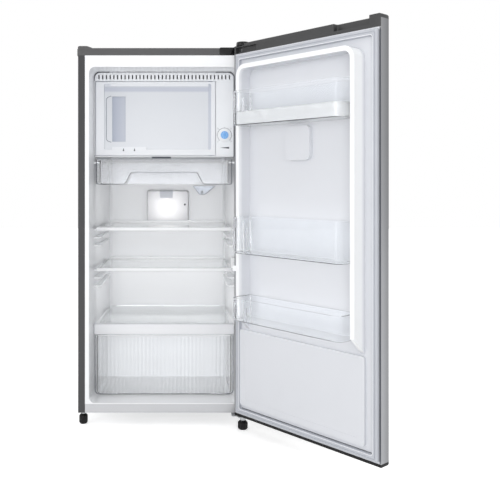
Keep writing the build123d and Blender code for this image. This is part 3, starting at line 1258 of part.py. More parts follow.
def filter_drier():
    """The copper drier that hangs from the serpentine's end, drawn in to a neck at each end."""
    low, high = DRIER_Z
    thin = CAPILLARY_RADIUS + 1
    neck = TUBE_RADIUS + 0.6
    profile = [(0, low), (thin, low), (thin, low + 8), (DRIER_RADIUS, low + 18), (DRIER_RADIUS, high - 18),
               (neck, high - 8), (neck, high), (0, high)]
    return turned(profile, DRIER_X, CONDENSER_Y)


def capillary():
    """The thin pipe from the drier: a small wound coil, then up beside the return pipe."""
    x, y, z = COIL_MIDDLE
    coil = Pos(x, y, z) * Helix(pitch=COIL_PITCH, height=COIL_TURNS * COIL_PITCH, radius=COIL_RADIUS)
    start = (DRIER_X, CONDENSER_Y, DRIER_Z[0] - SEAT_GAP)
    sag = (DRIER_X + 8, CONDENSER_Y - 12, z - 26)
    lead = Spline(start, sag, coil @ 0, tangents=[(0, 0, -1), coil % 0])
    beside = SUCTION_X - SUCTION_RADIUS - 2
    rise = (beside - 40, DRAIN_Y, (coil @ 1).Z + 8)
    tail = Spline(coil @ 1, rise, (beside, DRAIN_Y, CHAMBER_TOP - 4), tangents=[coil % 1, (0, 0, 1)])
    path = Wire([lead, coil, tail])
    return sweep(Plane(origin=path @ 0, z_dir=path % 0) * RegularPolygon(CAPILLARY_RADIUS, TUBE_SIDES),
                 path=path)


def pot_side(offset):
    """How far the compressor's upright wall stands from its middle at a sideways offset."""
    return sqrt(COMPRESSOR_RADIUS ** 2 - offset ** 2) + SEAT_GAP


def suction_line():
    """The return pipe: out of the freezer box, down inside the back wall and over to the compressor."""
    z = COMPRESSOR_FOOT + SUCTION_STUB
    points = [(SUCTION_X, EVAPORATOR_BACK + SEAT_GAP, SUCTION_Z), (SUCTION_X, DRAIN_Y, SUCTION_Z),
              (SUCTION_X, DRAIN_Y, z),
              (SUCTION_X, COMPRESSOR_Y, z), (COMPRESSOR_X - pot_side(0), COMPRESSOR_Y, z)]
    return tube(points, PIPE_BEND, SUCTION_RADIUS)


def suction_bore():
    """The return pipe's way through liner, foam and chamber sheet."""
    wide = SUCTION_RADIUS + SEAT_GAP
    down = block(grown((SUCTION_X, SUCTION_X), wide), (DRAIN_Y - PIPE_BEND - wide, DRAIN_Y + wide),
                 (CHAMBER_TOP - 2, SUCTION_Z + wide))
    return down + peg(SUCTION_X, SUCTION_Z, (LINER_DEPTH - 2, DRAIN_Y), wide)


def discharge_line():
    """The hot pipe from the compressor up to the top of the serpentine."""
    x = COMPRESSOR_X + DISCHARGE_SIDE
    z = COMPRESSOR_FOOT + DISCHARGE_STUB
    start = COMPRESSOR_Y + pot_side(DISCHARGE_SIDE - TUBE_RADIUS)
    corners = [(x, start, z), (x, CONDENSER_Y, z), (-DRIER_X, CONDENSER_Y, z),
               (-DRIER_X, CONDENSER_Y, CONDENSER_Z[1]),
               (CONDENSER_X[1] + SEAT_GAP, CONDENSER_Y, CONDENSER_Z[1])]
    return tube(corners, PIPE_BEND, TUBE_RADIUS)


def cord_gland():
    """The rubber gland in the pan where a power lead would leave."""
    x = HALF - GLAND_PLACE[0]
    y = CABINET_DEPTH - GLAND_PLACE[1]
    low = CABINET_BOTTOM + PAN_SHEET
    high = low + GLAND_HEIGHT
    profile = [(GLAND_BORE, low), (GLAND_RADIUS, low), (GLAND_RADIUS, high - 3), (GLAND_RADIUS - 2, high),
               (GLAND_BORE, high)]
    return turned(profile, x, y)


# Door, drawn closed


def door_outline(inset):
    """The door seen from above: round front corners, square back."""
    x = grown((-DOOR_HALF, DOOR_HALF), -inset)
    front = DOOR_FRONT + inset
    tail = DOOR_BACK + 2 * DOOR_EDGE_RADIUS
    whole = Pos(0, (front + tail) / 2) * RectangleRounded(x[1] - x[0], tail - front, DOOR_EDGE_RADIUS - inset)
    return whole & Pos(0, (front + DOOR_BACK) / 2) * Rectangle(x[1] - x[0], DOOR_BACK - front)


def door_prism(inset, z):
    """The door's outline, let in by an inset, between two heights."""
    return extrude(Plane.XY.offset(z[0]) * door_outline(inset), z[1] - z[0])


def door_panel():
    """The metal skin: one bent sheet round the front and both edges, hemmed in at the back."""
    z = (SKIN_BOTTOM, DOOR_SKIN_TOP)
    hem = block((DOOR_HALF - DOOR_HEM, DOOR_HALF - SHEET / 2), (DOOR_BACK - SHEET, DOOR_BACK),
                (SKIN_BOTTOM, DOOR_LINER_TOP))
    inner = block(grown((-DOOR_HALF, DOOR_HALF), -DOOR_HEM), (DOOR_BACK - SHEET - 1, 0), grown(z, 1))
    skin = door_prism(0, z) - door_prism(SHEET, grown(z, 1)) - inner + both_sides(hem)
    return skin - block((HINGE_END_X - CLIP_GAP, DOOR_HALF + 1), (DOOR_FRONT - 1, 0),
                        (DOOR_LINER_TOP + 3, DOOR_TOP))


def rim_walls(inset):
    """The raised rim that goes up one side, over the top and down the other, and slopes out at its feet."""
    outer_x = (RIM_FREE_X + inset, RIM_HINGE_X - inset)
    thick = RIM_THICKNESS - 2 * inset
    top = RIM_TOP - inset
    y = (DOOR_BACK - LINER - 0.5, DOOR_BACK + RIM_HEIGHT - inset)
    low = RIM_BOTTOM - 60
    ring = front_prism(outer_x, (low, top), y, RIM_CORNER - inset)
    ring -= front_prism(grown(outer_x, -thick), (low - 60, top - thick), grown(y, 1),
                        RIM_CORNER - inset - thick)
    foot = RIM_BOTTOM + inset
    wedge = [(y[0] - 1, low - 61), (y[1] + 1, low - 61), (y[1] + 1, foot + RIM_HEIGHT), (DOOR_BACK, foot),
             (y[0] - 1, foot)]
    return ring - across(wedge, (-DOOR_HALF, DOOR_HALF))


def door_core(inset):
    """What the door's liner covers: the flat back, the raised rim, the boss and the lower field."""
    back = DOOR_BACK - inset
    slab = block(grown((-DOOR_HALF, DOOR_HALF), -SHEET), (DOOR_BACK - 30, back),
                 (SKIN_BOTTOM, DOOR_LINER_TOP))
    boss_top = RIM_TOP - BOSS_DROP
    boss = front_prism(grown((BOSS_SHIFT, BOSS_SHIFT), BOSS_WIDTH / 2 - inset),
                       (boss_top - BOSS_HEIGHT + inset, boss_top - inset),
                       (DOOR_BACK - 10, DOOR_BACK + BOSS_DEPTH - inset), BOSS_CORNER)
    field = front_prism(field_span(-inset), (LINER_FLOOR + FIELD_FLOOR_GAP + inset, FIELD_TOP - inset),
                        (DOOR_BACK - 10, DOOR_BACK + FIELD_DEPTH - inset), FIELD_CORNER)
    return slab + rim_walls(inset) + boss + field


def field_span(by):
    """The lower field's limits across the door, let out by an amount."""
    return grown((RIM_FREE_X - 3, DOOR_HALF - FIELD_HINGE_INSET), by)


def door_liner():
    """The door's formed inner sheet, with lugs for the bins and the striker for the switch."""
    cover = door_core(0) - door_core(LINER)
    cover &= block(grown((-DOOR_HALF, DOOR_HALF), -DOOR_HEM - CLIP_GAP), (DOOR_BACK - LINER, BIN_FRONT),
                   (SKIN_BOTTOM, DOOR_LINER_TOP))
    face = DOOR_BACK + FIELD_DEPTH
    cover -= front_prism(field_span(-FIELD_BORDER),
                         grown((LINER_FLOOR + FIELD_FLOOR_GAP, FIELD_TOP), -FIELD_BORDER),
                         (face - FIELD_DIP, face + 1), FIELD_CORNER)
    for low, high in BINS.values():
        cover += lugs(high, 0)
    crest = DOOR_BACK + RIM_HEIGHT
    striker = block((RIM_HINGE_X - 1, SWITCH_X + 5), (crest - STRIKER_DEPTH, crest),
                    grown((SWITCH_MIDDLE, SWITCH_MIDDLE), STRIKER_HEIGHT / 2))
    return cover + striker


def lugs(bin_top, gap):
    """The pair of lugs that a bin drops onto, let out by the fitting gap."""
    top = bin_top - LUG_DROP + gap
    middle = DOOR_BACK + LUG_REACH
    y = grown((middle, middle), LUG_WIDTH / 2 + gap)
    z = (top - LUG_HEIGHT - gap, top)
    free = RIM_FREE_X + RIM_THICKNESS
    hinge = RIM_HINGE_X - RIM_THICKNESS
    return block((free - 0.5, free + LUG_DEPTH + gap), y, z) + block((hinge - LUG_DEPTH - gap, hinge + 0.5),
                                                                     y, z)


def door_foam():
    """The foam inside the door: the slab behind the skin, and what fills the rim, the boss and the field."""
    width = (-DOOR_HALF, DOOR_HALF)
    deep = (DOOR_BACK - LINER, BIN_FRONT)
    slab = door_prism(SHEET, (SKIN_BOTTOM, DOOR_LINER_TOP)) - block(width, deep, (0, DOOR_TOP))
    ribs = door_core(LINER) & block(width, deep, (0, DOOR_TOP))
    arch = block(width, deep, (RIM_TOP - RIM_CORNER, DOOR_TOP))
    return Compound(slab.solids() + (ribs - arch).solids() + (ribs & arch).solids())


def crown(top, soft):
    """The plastic top's visible crown up to a height, with a softened upper edge."""
    shape = door_prism(0, (DOOR_SKIN_TOP, top))
    return fillet(shape.edges().group_by(Axis.Z)[-1].sort_by(Axis.Y)[:-1], soft)


def door_top_cap():
    """The plastic top of the door: grip slot above its ledge, hinge recess and raised free end."""
    low = DOOR_LINER_TOP
    body = door_prism(SHEET + CLIP_GAP, (low, DOOR_SKIN_TOP))
    raised = crown(DOOR_TOP + END_BUMP_RISE, 6)
    raised &= block((-DOOR_HALF - 1, END_BUMP_LENGTH - DOOR_HALF), (DOOR_FRONT - 1, 0), (low, DOOR_TOP + 20))
    above = (low + 3, DOOR_TOP + END_BUMP_RISE + 1)
    cap = body + crown(DOOR_TOP, 4) + raised - block((HINGE_END_X, DOOR_HALF + 1), (DOOR_FRONT - 1, 0), above)
    cap += door_prism(0, (low + 3, DOOR_TOP - HINGE_END_DROP)) & block((HINGE_END_X, DOOR_HALF),
                                                                       (DOOR_FRONT, 0), above)
    near, far = GRIP_FROM_END
    slot = block((near - DOOR_HALF, far - DOOR_HALF), (DOOR_BACK - GRIP_DEPTH, 0),
                 (low + GRIP_LEDGE, above[1]))
    slot = fillet(slot.edges().filter_by(Axis.Z).group_by(Axis.Y)[0], 5)
    first, last, deep = HINGE_SHADE
    shade = block((DOOR_HALF - last, DOOR_HALF - first), (DOOR_BACK - deep, 0),
                  (low + 3, DOOR_TOP - HINGE_END_DROP - 3))
    bore = post(HINGE_X, HINGE_Y, (low - 1, DOOR_TOP + 20), HINGE_PIN_RADIUS + RUN_GAP)
    return cap - slot - shade - bore


def door_bottom_cap():
    """The black strip under the door, with the lower pin's bore."""
    strip = door_prism(0, (DOOR_BOTTOM, SKIN_BOTTOM))
    strip = chamfer(strip.edges().group_by(Axis.Z)[0], 1.2)
    return strip - post(HINGE_X, HINGE_Y, (DOOR_BOTTOM - 1, SKIN_BOTTOM + 1), HINGE_PIN_RADIUS + RUN_GAP)


def door_gasket():
    """The magnetic seal: a soft frame with a groove along its face."""
    x = (GASKET_INSET_FREE - DOOR_HALF, DOOR_HALF - GASKET_INSET_HINGE)
    z = grown((SKIN_BOTTOM, DOOR_LINER_TOP), -GASKET_INSET_END)
    y = (DOOR_BACK, -GASKET_SQUEEZE)
    ring = chamfer(front_prism(x, z, y, 3).faces().sort_by(Axis.Y)[-1].edges(), 2)
    ring -= front_prism(grown(x, -GASKET_WIDTH), grown(z, -GASKET_WIDTH), grown(y, 1), 3)
    groove = front_prism(grown(x, -6), grown(z, -6), (y[1] - 2, y[1] + 1), 3)
    return ring - (groove - front_prism(grown(x, -8), grown(z, -8), (y[1] - 3, y[1] + 2), 2))


def bin_outline(inset, end_inset):
    """A bin seen from above: straight back, rounded front corners."""
    x = grown(BIN_X, -end_inset)
    y = (DOOR_BACK + BIN_GAP + inset, BIN_FRONT - inset)
    tail = y[0] - 2 * BIN_FRONT_RADIUS
    radius = BIN_FRONT_RADIUS - inset
    whole = Pos(BIN_MIDDLE, (tail + y[1]) / 2) * RectangleRounded(x[1] - x[0], y[1] - tail, radius)
    return whole & Pos(BIN_MIDDLE, (y[0] + y[1]) / 2) * Rectangle(x[1] - x[0], y[1] - y[0])


def door_bin(low, high):
    """A bin: clear wall with a rolled lip, floor, and thick ends whose slots drop over the lugs."""
    tub = extrude(Plane.XY.offset(low) * bin_outline(0, 0), high - low)
    tub = chamfer(tub.edges().group_by(Axis.Z)[0].sort_by(Axis.Y)[1:], BIN_FOOT_RADIUS)
    hollow = extrude(Plane.XY.offset(low + BIN_WALL) * bin_outline(BIN_WALL + BIN_LIP, BIN_END), high - low)
    hollow += extrude(Plane.XY.offset(low + BIN_WALL + 4) * bin_outline(BIN_WALL, BIN_END),
                      high - low - BIN_WALL - 4 - BIN_LIP_HEIGHT)
    tub -= hollow
    y_z = lugs(high, SEAT_GAP).bounding_box()
    slot_y = (y_z.min.Y, y_z.max.Y)
    slot_z = (low - 1, y_z.max.Z)
    tub -= block((BIN_X[0] - 1, RIM_FREE_X + RIM_THICKNESS + LUG_DEPTH + SEAT_GAP), slot_y, slot_z)
    return tub - block((RIM_HINGE_X - RIM_THICKNESS - LUG_DEPTH - SEAT_GAP, BIN_X[1] + 1), slot_y, slot_z)


def egg_tray():
    """The egg rack in the top bin: a plate with a row of collared seats, on skirts."""
    side = BIN_WALL + BIN_LIP + EGG_RACK_GAP
    y = (DOOR_BACK + BIN_GAP + side, BIN_FRONT - side)
    x = grown(BIN_X, -BIN_END - EGG_RACK_GAP)
    base = TOP_BIN_Z[0] + BIN_WALL + SEAT_GAP
    wall = EGG_RACK_WALL
    rack = plan_prism(x, y, (base, EGG_LEVEL), EGG_RACK_CORNER)
    rack -= plan_prism(grown(x, -wall), grown(y, -wall), (base - 1, EGG_LEVEL - wall), EGG_RACK_CORNER - wall)
    middle = (y[0] + y[1]) / 2
    for i in range(EGG_COUNT):
        x = BIN_MIDDLE + (i - (EGG_COUNT - 1) / 2) * EGG_PITCH
        rack += post(x, middle, (EGG_LEVEL - EGG_SEAT_DEPTH, EGG_LEVEL), EGG_RADIUS + EGG_COLLAR)
        rack -= Pos(x, middle, EGG_LEVEL - EGG_SEAT_DEPTH / 2) * Cone(EGG_SEAT_RADIUS, EGG_RADIUS,
                                                                      EGG_SEAT_DEPTH)
    return rack


def open_door(shape):
    """Turns a piece of the closed door open about the hinge."""
    return Pos(HINGE_X, HINGE_Y, 0) * Rot(0, 0, DOOR_ANGLE) * Pos(-HINGE_X, -HINGE_Y, 0) * shape


# Everything by name


def cabinet_pieces():
    right = side_panel()
    return {
        "right_side_panel": right,
        "left_side_panel": mirror(right, about=Plane.YZ),
        "back_panel": back_panel(),
        "chamber_plate": chamber_plate(),
        "base_pan": base_pan(),
        "bottom_front_panel": bottom_front_panel(),
        "inner_liner": inner_liner(),
        "insulation_foam": insulation_foam(),
        "top_cap": top_cap(),
        "top_hinge": top_hinge(),
        "hinge_cover": hinge_cover(),
        "bottom_hinge": bottom_hinge(),
        "cabinet_screws": cabinet_screws(),
        "rear_feet": rear_feet(),
        "front_left_foot": front_left_foot(),
        "front_right_foot": front_right_foot(),
    }


def inside_pieces():
    pieces = {
        "freezer_frame": freezer_frame(),
        "freezer_door": freezer_door(),
        "evaporator": evaporator(),
        "ice_tray": ice_tray(),
        "thermostat": thermostat(),
        "thermostat_knob": thermostat_knob(),
        "chiller_rails": chiller_rails(),
        "chiller_tray": chiller_tray(),
        "lamp_cover": lamp_cover(),
        "lamp_bulb": lamp_bulb(),
        "lamp_holder": lamp_holder(),
        "drain_funnel": drain_funnel(),
        "drain_tube": drain_tube(),
        "crisper_cover_glass": crisper_cover_glass(),
        "crisper_cover_frame": crisper_cover_frame(),
        "crisper_drawer": crisper_drawer(),
        "door_switch": door_switch(),
        "switch_plunger": switch_plunger(),
    }
    for name, top in SHELF_TOPS.items():
        pieces[name + "_glass"] = shelf_glass(top)
        pieces[name + "_trim"] = shelf_trim(top)
    return pieces


def cooling_pieces():
    return {
        "compressor": compressor(),
        "compressor_grommets": compressor_grommets(),
        "relay_cover": relay_cover(),
        "evaporation_tray": evaporation_tray(),
        "condenser_tube": condenser_tube(),
        "condenser_wires": condenser_wires(),
        "condenser_brackets": condenser_brackets(),
        "filter_drier": filter_drier(),
        "capillary": capillary(),
        "suction_line": suction_line(),
        "discharge_line": discharge_line(),
        "cord_gland": cord_gland(),
    }


def door_pieces():
    pieces = {
        "door_panel": door_panel(),
        "door_liner": door_liner(),
        "door_foam": door_foam(),
        "door_top_cap": door_top_cap(),
        "door_bottom_cap": door_bottom_cap(),
        "door_gasket": door_gasket(),
        "egg_tray": egg_tray(),
    }
    for name, (low, high) in BINS.items():
        pieces[name] = door_bin(low, high)
    return {name: open_door(shape) for name, shape in pieces.items()}


def main():
    os.makedirs("parts", exist_ok=True)
    pieces = cabinet_pieces() | inside_pieces() | cooling_pieces() | door_pieces()
    boxes = [shape.bounding_box() for shape in pieces.values()]
    middle_x = (min(box.min.X for box in boxes) + max(box.max.X for box in boxes)) / 2
    middle_y = (min(box.min.Y for box in boxes) + max(box.max.Y for box in boxes)) / 2
    for name, shape in pieces.items():
        export_step(Pos(-middle_x, -middle_y, 0) * shape, f"parts/{name}.step")
    print("cabinet middle at", round(-middle_x, 4), "front plane at", round(-middle_y, 4))


if __name__ == "__main__":
    main()
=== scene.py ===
import json
import math

import bmesh
import bpy
from mathutils import Matrix, Vector

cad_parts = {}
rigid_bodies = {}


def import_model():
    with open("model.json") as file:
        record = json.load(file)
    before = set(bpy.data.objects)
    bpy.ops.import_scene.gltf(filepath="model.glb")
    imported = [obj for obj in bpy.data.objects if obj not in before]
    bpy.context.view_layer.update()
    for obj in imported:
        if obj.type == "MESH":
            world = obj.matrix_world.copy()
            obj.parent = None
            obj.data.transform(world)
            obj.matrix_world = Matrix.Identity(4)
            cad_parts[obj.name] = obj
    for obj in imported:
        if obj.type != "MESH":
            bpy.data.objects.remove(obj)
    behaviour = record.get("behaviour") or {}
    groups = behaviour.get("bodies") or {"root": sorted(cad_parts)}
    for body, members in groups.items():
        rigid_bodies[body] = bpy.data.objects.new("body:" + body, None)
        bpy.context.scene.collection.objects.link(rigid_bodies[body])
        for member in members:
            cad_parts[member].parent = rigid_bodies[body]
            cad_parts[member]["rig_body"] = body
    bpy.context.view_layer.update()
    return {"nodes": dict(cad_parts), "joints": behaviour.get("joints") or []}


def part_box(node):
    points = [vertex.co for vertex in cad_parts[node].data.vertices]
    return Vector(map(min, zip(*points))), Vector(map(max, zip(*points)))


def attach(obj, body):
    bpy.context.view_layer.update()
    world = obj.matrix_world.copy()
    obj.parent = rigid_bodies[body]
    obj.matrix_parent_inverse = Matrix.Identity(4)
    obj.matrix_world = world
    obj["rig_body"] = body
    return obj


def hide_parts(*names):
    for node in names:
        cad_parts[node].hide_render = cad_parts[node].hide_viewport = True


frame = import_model()
nodes = frame["nodes"]

# Places are written in millimetres from the cabinet's middle, its front plane and the floor.
rim_low, rim_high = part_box("inner_liner")
MIDDLE = (rim_low.x + rim_high.x) / 2
FRONT = rim_low.y
door_swing = next(joint for joint in frame["joints"] if joint["name"] == "door_swing")
HINGE = Vector(door_swing["pos_m"])
OPENED_BY = 130
OPENED = Matrix.Rotation(math.radians(OPENED_BY), 3, "Z")


def inside(x, y, z):
    """A place in the cabinet, in metres."""
    return Vector((MIDDLE + x / 1000, FRONT + y / 1000, z / 1000))


def on_door(x, y, z):
    """A place on the shut door, carried round with the open door."""
    return HINGE + OPENED @ (inside(x, y, z) - HINGE)


def corners_of(node):
    """A cabinet node's lowest and highest corners, in cabinet millimetres."""
    cabinet = Vector((MIDDLE, FRONT, 0))
    low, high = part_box(node)
    return (low - cabinet) * 1000, (high - cabinet) * 1000


def middle_of(node):
    """The middle of a cabinet node's box, in cabinet millimetres."""
    low, high = corners_of(node)
    return (low + high) / 2


knob = middle_of("thermostat_knob")
freezer_face = corners_of("freezer_door")[0].y

# The freezer door's sunk field
FIELD_LEFT = -194
FIELD_RIGHT = 154
FIELD_FOOT = 850
FIELD_TOP = 1063

# The centre of the lamp cover's painted glow, and the plane from which the door's liner rises
PAINTED_GLOW_CENTRE = (0, 416, 664)
DOOR_BACK = -12


# Working with shader nodes


def linear(tone):
    """A colour written as three values of 0 to 255, as light values."""
    parts = [c / 255 for c in tone]
    return tuple(c / 12.92 if c <= 0.04045 else ((c + 0.055) / 1.055) ** 2.4 for c in parts) + (1.0,)


def put(tree, kind, **values):
    """Adds a shader node. A value sets the node's own setting or its input of that name.

    A name such as _1 stands for the input with that number, and a value that is a socket is linked.
    """
    made = tree.nodes.new("ShaderNode" + kind)
    for name, value in values.items():
        if hasattr(made, name):
            setattr(made, name, value)
            continue
        socket = made.inputs[int(name[1:]) if name[0] == "_" else name.replace("_", " ")]
        if isinstance(value, bpy.types.NodeSocket):
            tree.links.new(value, socket)
        else:
            socket.default_value = value
    return made


def start_finish(name):
    """An empty material with its principled shader on the output."""
    material = bpy.data.materials.new(name)
    material.use_nodes = True
    tree = material.node_tree
    tree.nodes.clear()
    shader = put(tree, "BsdfPrincipled")
    put(tree, "OutputMaterial", Surface=shader.outputs[0])
    return material, tree, shader


def here(tree, stretch=(1, 1, 1)):
    """Object coordinates in metres, stretched for a pattern with a direction."""
    spot = put(tree, "TexCoord").outputs["Object"]
    return put(tree, "Mapping", Vector=spot, Scale=stretch).outputs[0]


def cloud(tree, spot, size, detail=2.0, rough=0.5):
    """Soft random values from 0 to 1 whose blots are about a size in metres."""
    return put(tree, "TexNoise", Vector=spot, Scale=1 / size, Detail=detail, Roughness=rough).outputs["Fac"]


def between(tree, value, low, high, start=0.3, end=0.7):
    """Maps a value that runs from start to end onto the range from low to high."""
    made = put(tree, "MapRange", Value=value)
    for name, number in (("From Min", start), ("From Max", end), ("To Min", low), ("To Max", high)):
        made.inputs[name].default_value = number
    return made.outputs[0]


def blended(tree, amount, first, second):
    """A mix of two colours, each given as a tone or a socket."""
    mixer = put(tree, "Mix", data_type="RGBA")
    tree.links.new(amount, mixer.inputs[0])
    for slot, tone in ((6, first), (7, second)):
        if isinstance(tone, bpy.types.NodeSocket):
            tree.links.new(tone, mixer.inputs[slot])
        else:
            mixer.inputs[slot].default_value = linear(tone)
    return mixer.outputs[2]


def relief(tree, shader, height, depth, strength=1.0):
    """Raises the surface by a pattern, to a depth in metres."""
    bump = put(tree, "Bump", Height=height, Distance=depth, Strength=strength)
    tree.links.new(bump.outputs[0], shader.inputs["Normal"])
    return bump


def darker(tone, by):
    """A tone with each of its three values lowered."""
    return tuple(max(0, c - by) for c in tone)


def millimetres(tree):
    """Object coordinates as x, y and z in cabinet millimetres."""
    spot = put(tree, "TexCoord").outputs["Object"]
    moved = put(tree, "Mapping", Vector=spot, Scale=(1000, 1000, 1000),
                Location=(-MIDDLE * 1000, -FRONT * 1000, 0))
    return put(tree, "SeparateXYZ", Vector=moved.outputs[0]).outputs


def door_place(tree):
    """How far a point lies along the opened door and off its back plane, in millimetres."""
    spot = put(tree, "TexCoord").outputs["Object"]
    found = []
    for way in (Vector((1, 0, 0)), Vector((0, 1, 0))):
        way = OPENED @ way
        start = on_door(0, DOOR_BACK, 0).dot(way)
        far = put(tree, "VectorMath", operation="DOT_PRODUCT", _0=spot, _1=tuple(way)).outputs["Value"]
        far = put(tree, "Math", operation="MULTIPLY_ADD", _0=far, _1=1000.0, _2=-start * 1000)
        found.append(far.outputs[0])
    return found


def reach_from(tree, place):
    """Distance from a place, in millimetres."""
    spot = put(tree, "TexCoord").outputs["Object"]
    far = put(tree, "VectorMath", operation="DISTANCE", _0=spot, _1=tuple(place)).outputs["Value"]
    return put(tree, "Math", operation="MULTIPLY", _0=far, _1=1000.0).outputs[0]


def times(tree, first, second):
    """The product of two values."""
    return put(tree, "Math", operation="MULTIPLY", _0=first, _1=second).outputs[0]


def band(tree, value, low, high, soft):
    """One between two values, fading over a soft width at each."""
    return times(tree, between(tree, value, 0, 1, low - soft, low + soft),
                 between(tree, value, 1, 0, high - soft, high + soft))


def shader_of(material):
    """A finish's principled shader."""
    return next(n for n in material.node_tree.nodes if n.type == "BSDF_PRINCIPLED")


def tint(material, amount, tone):
    """Lays a second tone over a finish, by an amount from 0 to 1."""
    tree = material.node_tree
    colour = shader_of(material).inputs["Base Color"]
    tree.links.new(blended(tree, amount, colour.links[0].from_socket, tone), colour)


# Finishes


def moulded(name, tone, rough=0.35, peel=0.00001, grain=0.0012, shift=3):
    """Moulded plastic: slow changes of tone and fine pebbling."""
    material, tree, shader = start_finish(name)
    spot = here(tree)
    slow = cloud(tree, spot, 0.3, 2)
    fine = cloud(tree, spot, grain, 2, 0.6)
    colour = blended(tree, between(tree, slow, 0, 1), tone, darker(tone, shift))
    tree.links.new(colour, shader.inputs["Base Color"])
    sheen = cloud(tree, spot, 0.12, 1)
    tree.links.new(between(tree, sheen, rough - 0.01, rough + 0.015), shader.inputs["Roughness"])
    relief(tree, shader, fine, peel)
    return material


def lacquered(name, tone, rough=0.4, fleck=0.0):
    """Painted sheet: orange peel, tiny flecks and faint wipe marks."""
    material, tree, shader = start_finish(name)
    spot = here(tree)
    slow = cloud(tree, here(tree, (1, 1, 0.35)), 0.35, 3)
    colour = blended(tree, between(tree, slow, 0, 1), tone, darker(tone, 4))
    speck = cloud(tree, spot, 0.0009, 1)
    bright = tuple(min(255, c + 18) for c in tone)
    colour = blended(tree, between(tree, speck, 0, 0.5, 0.62, 0.75), colour, bright)
    tree.links.new(colour, shader.inputs["Base Color"])
    wipes = cloud(tree, here(tree, (1, 1, 6)), 0.08, 4)
    tree.links.new(between(tree, wipes, rough - 0.03, rough + 0.04), shader.inputs["Roughness"])
    shader.inputs["Metallic"].default_value = fleck
    relief(tree, shader, cloud(tree, spot, 0.004, 2), 0.00002)
    return material


def drawn_metal(name, tone, rough=0.32, way=(60, 60, 1), grain=0.012, depth=0.000006, wear=14):
    """Bare or thinly lacquered metal with fine lines along its rolling direction."""
    material, tree, shader = start_finish(name)
    lines = cloud(tree, here(tree, way), grain, 5, 0.65)
    slow = cloud(tree, here(tree), 0.15, 3)
    colour = blended(tree, between(tree, lines, 0, 1), tone, darker(tone, wear))
    colour = blended(tree, between(tree, slow, 0, 0.5), colour, darker(tone, wear))
    tree.links.new(colour, shader.inputs["Base Color"])
    tree.links.new(between(tree, lines, rough - 0.06, rough + 0.1), shader.inputs["Roughness"])
    shader.inputs["Metallic"].default_value = 1.0
    relief(tree, shader, lines, depth)
    return material


def dull(material, gloss=0.25):
    """Takes most of the gloss off a black finish."""
    shader_of(material).inputs["Specular IOR Level"].default_value = gloss
    return material


def let_lamps_through(tree, shader, share):
    """Lets a share of the lamps' light straight through a clear piece."""
    film = put(tree, "BsdfTransparent", Color=(share, share, share, 1))
    shadow = put(tree, "LightPath").outputs["Is Shadow Ray"]
    either = put(tree, "MixShader", Fac=shadow, _1=shader.outputs[0], _2=film.outputs[0])
    output = next(n for n in tree.nodes if n.type == "OUTPUT_MATERIAL")
    tree.links.new(either.outputs[0], output.inputs["Surface"])


def see_through(name, tone, rough=0.03, clear=1.0, ripple=0.000003, passed=0.95, bends=1.45):
    """Glass or clear plastic, faintly rippled."""
    material, tree, shader = start_finish(name)
    spot = here(tree)
    colour = blended(tree, between(tree, cloud(tree, spot, 0.2, 2), 0, 1), tone, darker(tone, 2))
    tree.links.new(colour, shader.inputs["Base Color"])
    sheen = cloud(tree, spot, 0.08, 1)
    tree.links.new(between(tree, sheen, rough, rough + 0.02), shader.inputs["Roughness"])
    shader.inputs["Transmission Weight"].default_value = clear
    shader.inputs["IOR"].default_value = bends
    relief(tree, shader, cloud(tree, spot, 0.02, 1), ripple)
    let_lamps_through(tree, shader, passed)
    return material


def ribbed(material, pitch, depth):
    """Fine upright flutes on a clear moulding, a pitch apart, in metres."""
    tree = material.node_tree
    shader = shader_of(material)
    flutes = put(tree, "TexWave", wave_type="BANDS", bands_direction="X", Vector=here(tree),
                 Scale=math.pi / (10 * pitch)).outputs["Fac"]
    bump = put(tree, "Bump", Height=flutes, Distance=depth, Strength=0.6)
    below = shader.inputs["Normal"].links[0].from_socket
    tree.links.new(below, bump.inputs["Normal"])
    tree.links.new(bump.outputs[0], shader.inputs["Normal"])
    # The flutes also carry a grey tint along their crests: painted shade.
    tint(material, between(tree, flutes, 0, 0.6, 0.3, 0.95), (244, 245, 247))
    return material


def rubbery(name, tone, rough=0.6):
    """Rubber or soft vinyl with a bloom on it."""
    material, tree, shader = start_finish(name)
    spot = here(tree)
    bloom = cloud(tree, spot, 0.05, 3, 0.5)
    colour = blended(tree, between(tree, bloom, 0, 0.8), tone, tuple(min(255, c + 5) for c in tone))
    tree.links.new(colour, shader.inputs["Base Color"])
    tree.links.new(between(tree, bloom, rough - 0.04, rough + 0.05), shader.inputs["Roughness"])
    relief(tree, shader, cloud(tree, spot, 0.0015, 3), 0.00002)
    return material


def foamed(name, tone):
    """Rigid foam with open cells."""
    material, tree, shader = start_finish(name)
    spot = here(tree)
    cells = put(tree, "TexVoronoi", Vector=spot, Scale=420.0).outputs["Distance"]
    colour = blended(tree, between(tree, cells, 0, 1, 0.1, 0.6), tone, darker(tone, 26))
    tree.links.new(colour, shader.inputs["Base Color"])
    shader.inputs["Roughness"].default_value = 0.9
    relief(tree, shader, cells, 0.0008)
    return material


def glowing(name, tone, power):
    """The lit bulb, in a warm white."""
    material, tree, shader = start_finish(name)
    spot = here(tree)
    colour = blended(tree, between(tree, cloud(tree, spot, 0.01, 2), 0, 1), tone, darker(tone, 12))
    tree.links.new(colour, shader.inputs["Base Color"])
    tree.links.new(colour, shader.inputs["Emission Color"])
    shader.inputs["Emission Strength"].default_value = power
    return material


